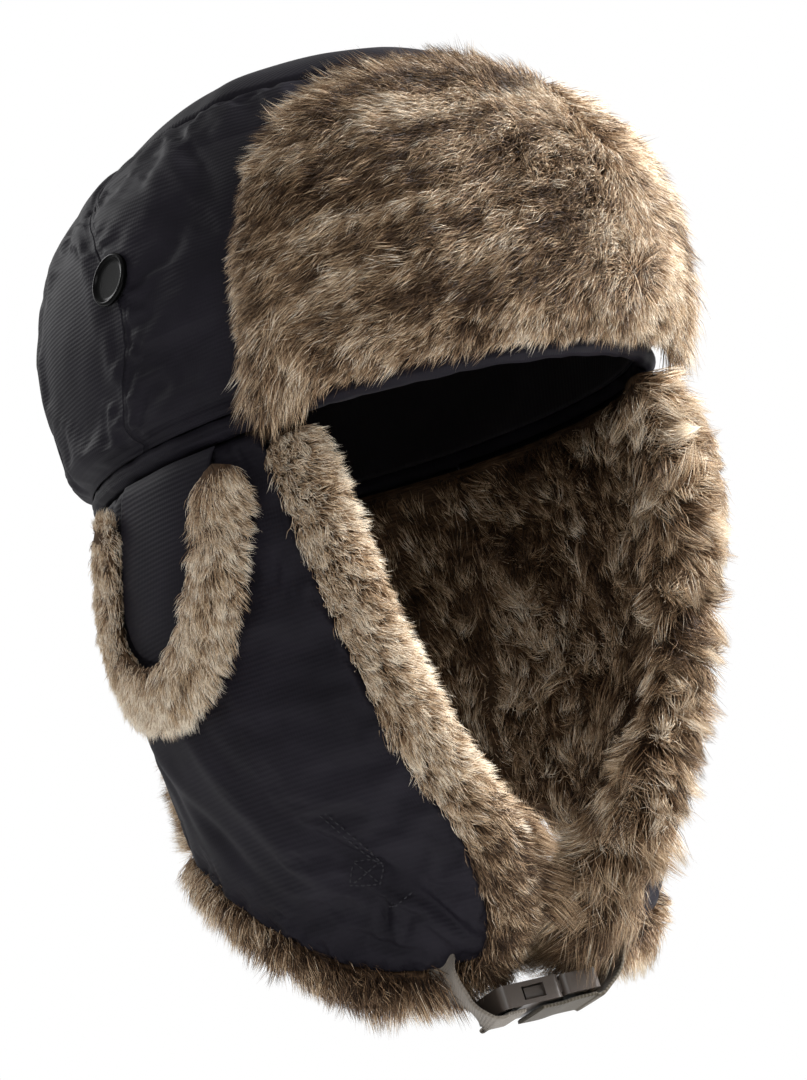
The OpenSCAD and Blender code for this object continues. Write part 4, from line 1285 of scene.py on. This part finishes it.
def sky():
    """A white cove stands behind the hat; the rest of the room is a softer grey."""
    w = bpy.data.worlds.new("studio")
    bpy.context.scene.world = w
    w.use_nodes = True
    co = node(w, "ShaderNodeTexCoord", {})
    dot = node(w, "ShaderNodeVectorMath", {0: co.outputs["Generated"]}, operation="DOT_PRODUCT")
    dot.inputs[1].default_value = (0.465, 0.874, 0.139)
    span = node(w, "ShaderNodeMapRange", {"Value": dot.outputs["Value"]}, interpolation_type="SMOOTHSTEP",
                From_Min=0.80, From_Max=0.95, To_Min=0.45, To_Max=1.0)
    back = w.node_tree.nodes["Background"]
    back.inputs[0].default_value = (1, 1, 1, 1)
    w.node_tree.links.new(span.outputs["Result"], back.inputs[1])


def light(name, at, size, power):
    """A round lamp that looks at the hat."""
    d = bpy.data.lights.new(name, "AREA")
    d.shape, d.size, d.energy = "DISK", size, power
    o = bpy.data.objects.new(name, d)
    bpy.context.scene.collection.objects.link(o)
    o.location = at
    o.rotation_mode = "QUATERNION"
    o.rotation_quaternion = (Vector((0, 0, -0.04)) - Vector(at)).to_track_quat("-Z", "Y")


def camera():
    """It stands 1.5 m off, a little below the hat, with the hat's top leaning to the picture's left."""
    az, el, roll, dist = math.radians(-28), math.radians(-8), math.radians(-14), 1.5
    back = Vector((math.sin(az) * math.cos(el), -math.cos(az) * math.cos(el), math.sin(el)))
    cam = bpy.data.objects.new("camera", bpy.data.cameras.new("camera"))
    bpy.context.scene.collection.objects.link(cam)
    bpy.context.scene.camera = cam
    cam.data.lens = 142
    cam.location = Vector((-0.010, -0.020, -0.040)) + back * dist
    right = (-back).cross(Vector((0, 0, 1))).normalized()
    up = right.cross(-back)
    cos, sin = math.cos(roll), math.sin(roll)
    right, up = right * cos + up * sin, up * cos - right * sin
    cam.rotation_mode = "QUATERNION"
    cam.rotation_quaternion = Matrix((right, up, back)).transposed().to_quaternion()


# ---------- the hat, piece by piece ----------

crown_piece("crown_front_cloth", lambda u: seam_a(u) + SEAM_GAP, lambda u: seam_a(u, 1) - SEAM_GAP,
            HEM_U, PANEL_TOP, 150, 240, ["crown_front_panel"])
crown_piece("crown_back_cloth", lambda u: seam_a(u, 1) - 360 + SEAM_GAP, lambda u: seam_a(u) - SEAM_GAP,
            HEM_U, PANEL_TOP, 150, 300, ["crown_back_panel"])
crown_piece("crown_top_cloth", lambda u: 0 * u, lambda u: 0 * u + 360, TOP_SEAM, CENTRE, 60, 300,
            ["crown_top_panel", "crown_wadding"], wrap=True)
lining_piece()
band_piece()
label_piece()
hem_piece()
for side, tag in SIDES:
    button_piece(side, tag)
for side, tag in SIDES:
    ear_flap_cloth(side, tag)
    ear_flap_lining(side, tag)
    ear_flap_rear_fringe(side, tag)
    ear_flap_edge(side, tag)
    ear_flap_chin_fringe(side, tag)
for side, tag in SIDES:
    stitches(side, tag)
curtain_cloth()
curtain_lining()
curtain_edge()
forehead_cloth()
forehead_hair()
for side, tag in SIDES:
    port_cloth(side, tag)
    port_fur(side, tag)
    recolour(f"port_flap_{tag}_loop", ELASTIC)
strap(-1, "right", WEBBING)
strap(1, "left", OLIVE)
for name in ("buckle_socket", "buckle_plug"):
    soften(recolour(name, PLASTIC))
for name in ("button_back_right", "button_back_left"):
    soften(recolour(name, BUTTON))

floor()
sky()
light("key", (1.5, -0.75, 0.7), 0.7, 90)
light("fill", (-1.2, -1.7, 0.4), 1.0, 9)
light("rim", (-0.5, 1.5, 1.1), 0.9, 10)
camera()
bpy.context.scene.view_settings.view_transform = "Standard"
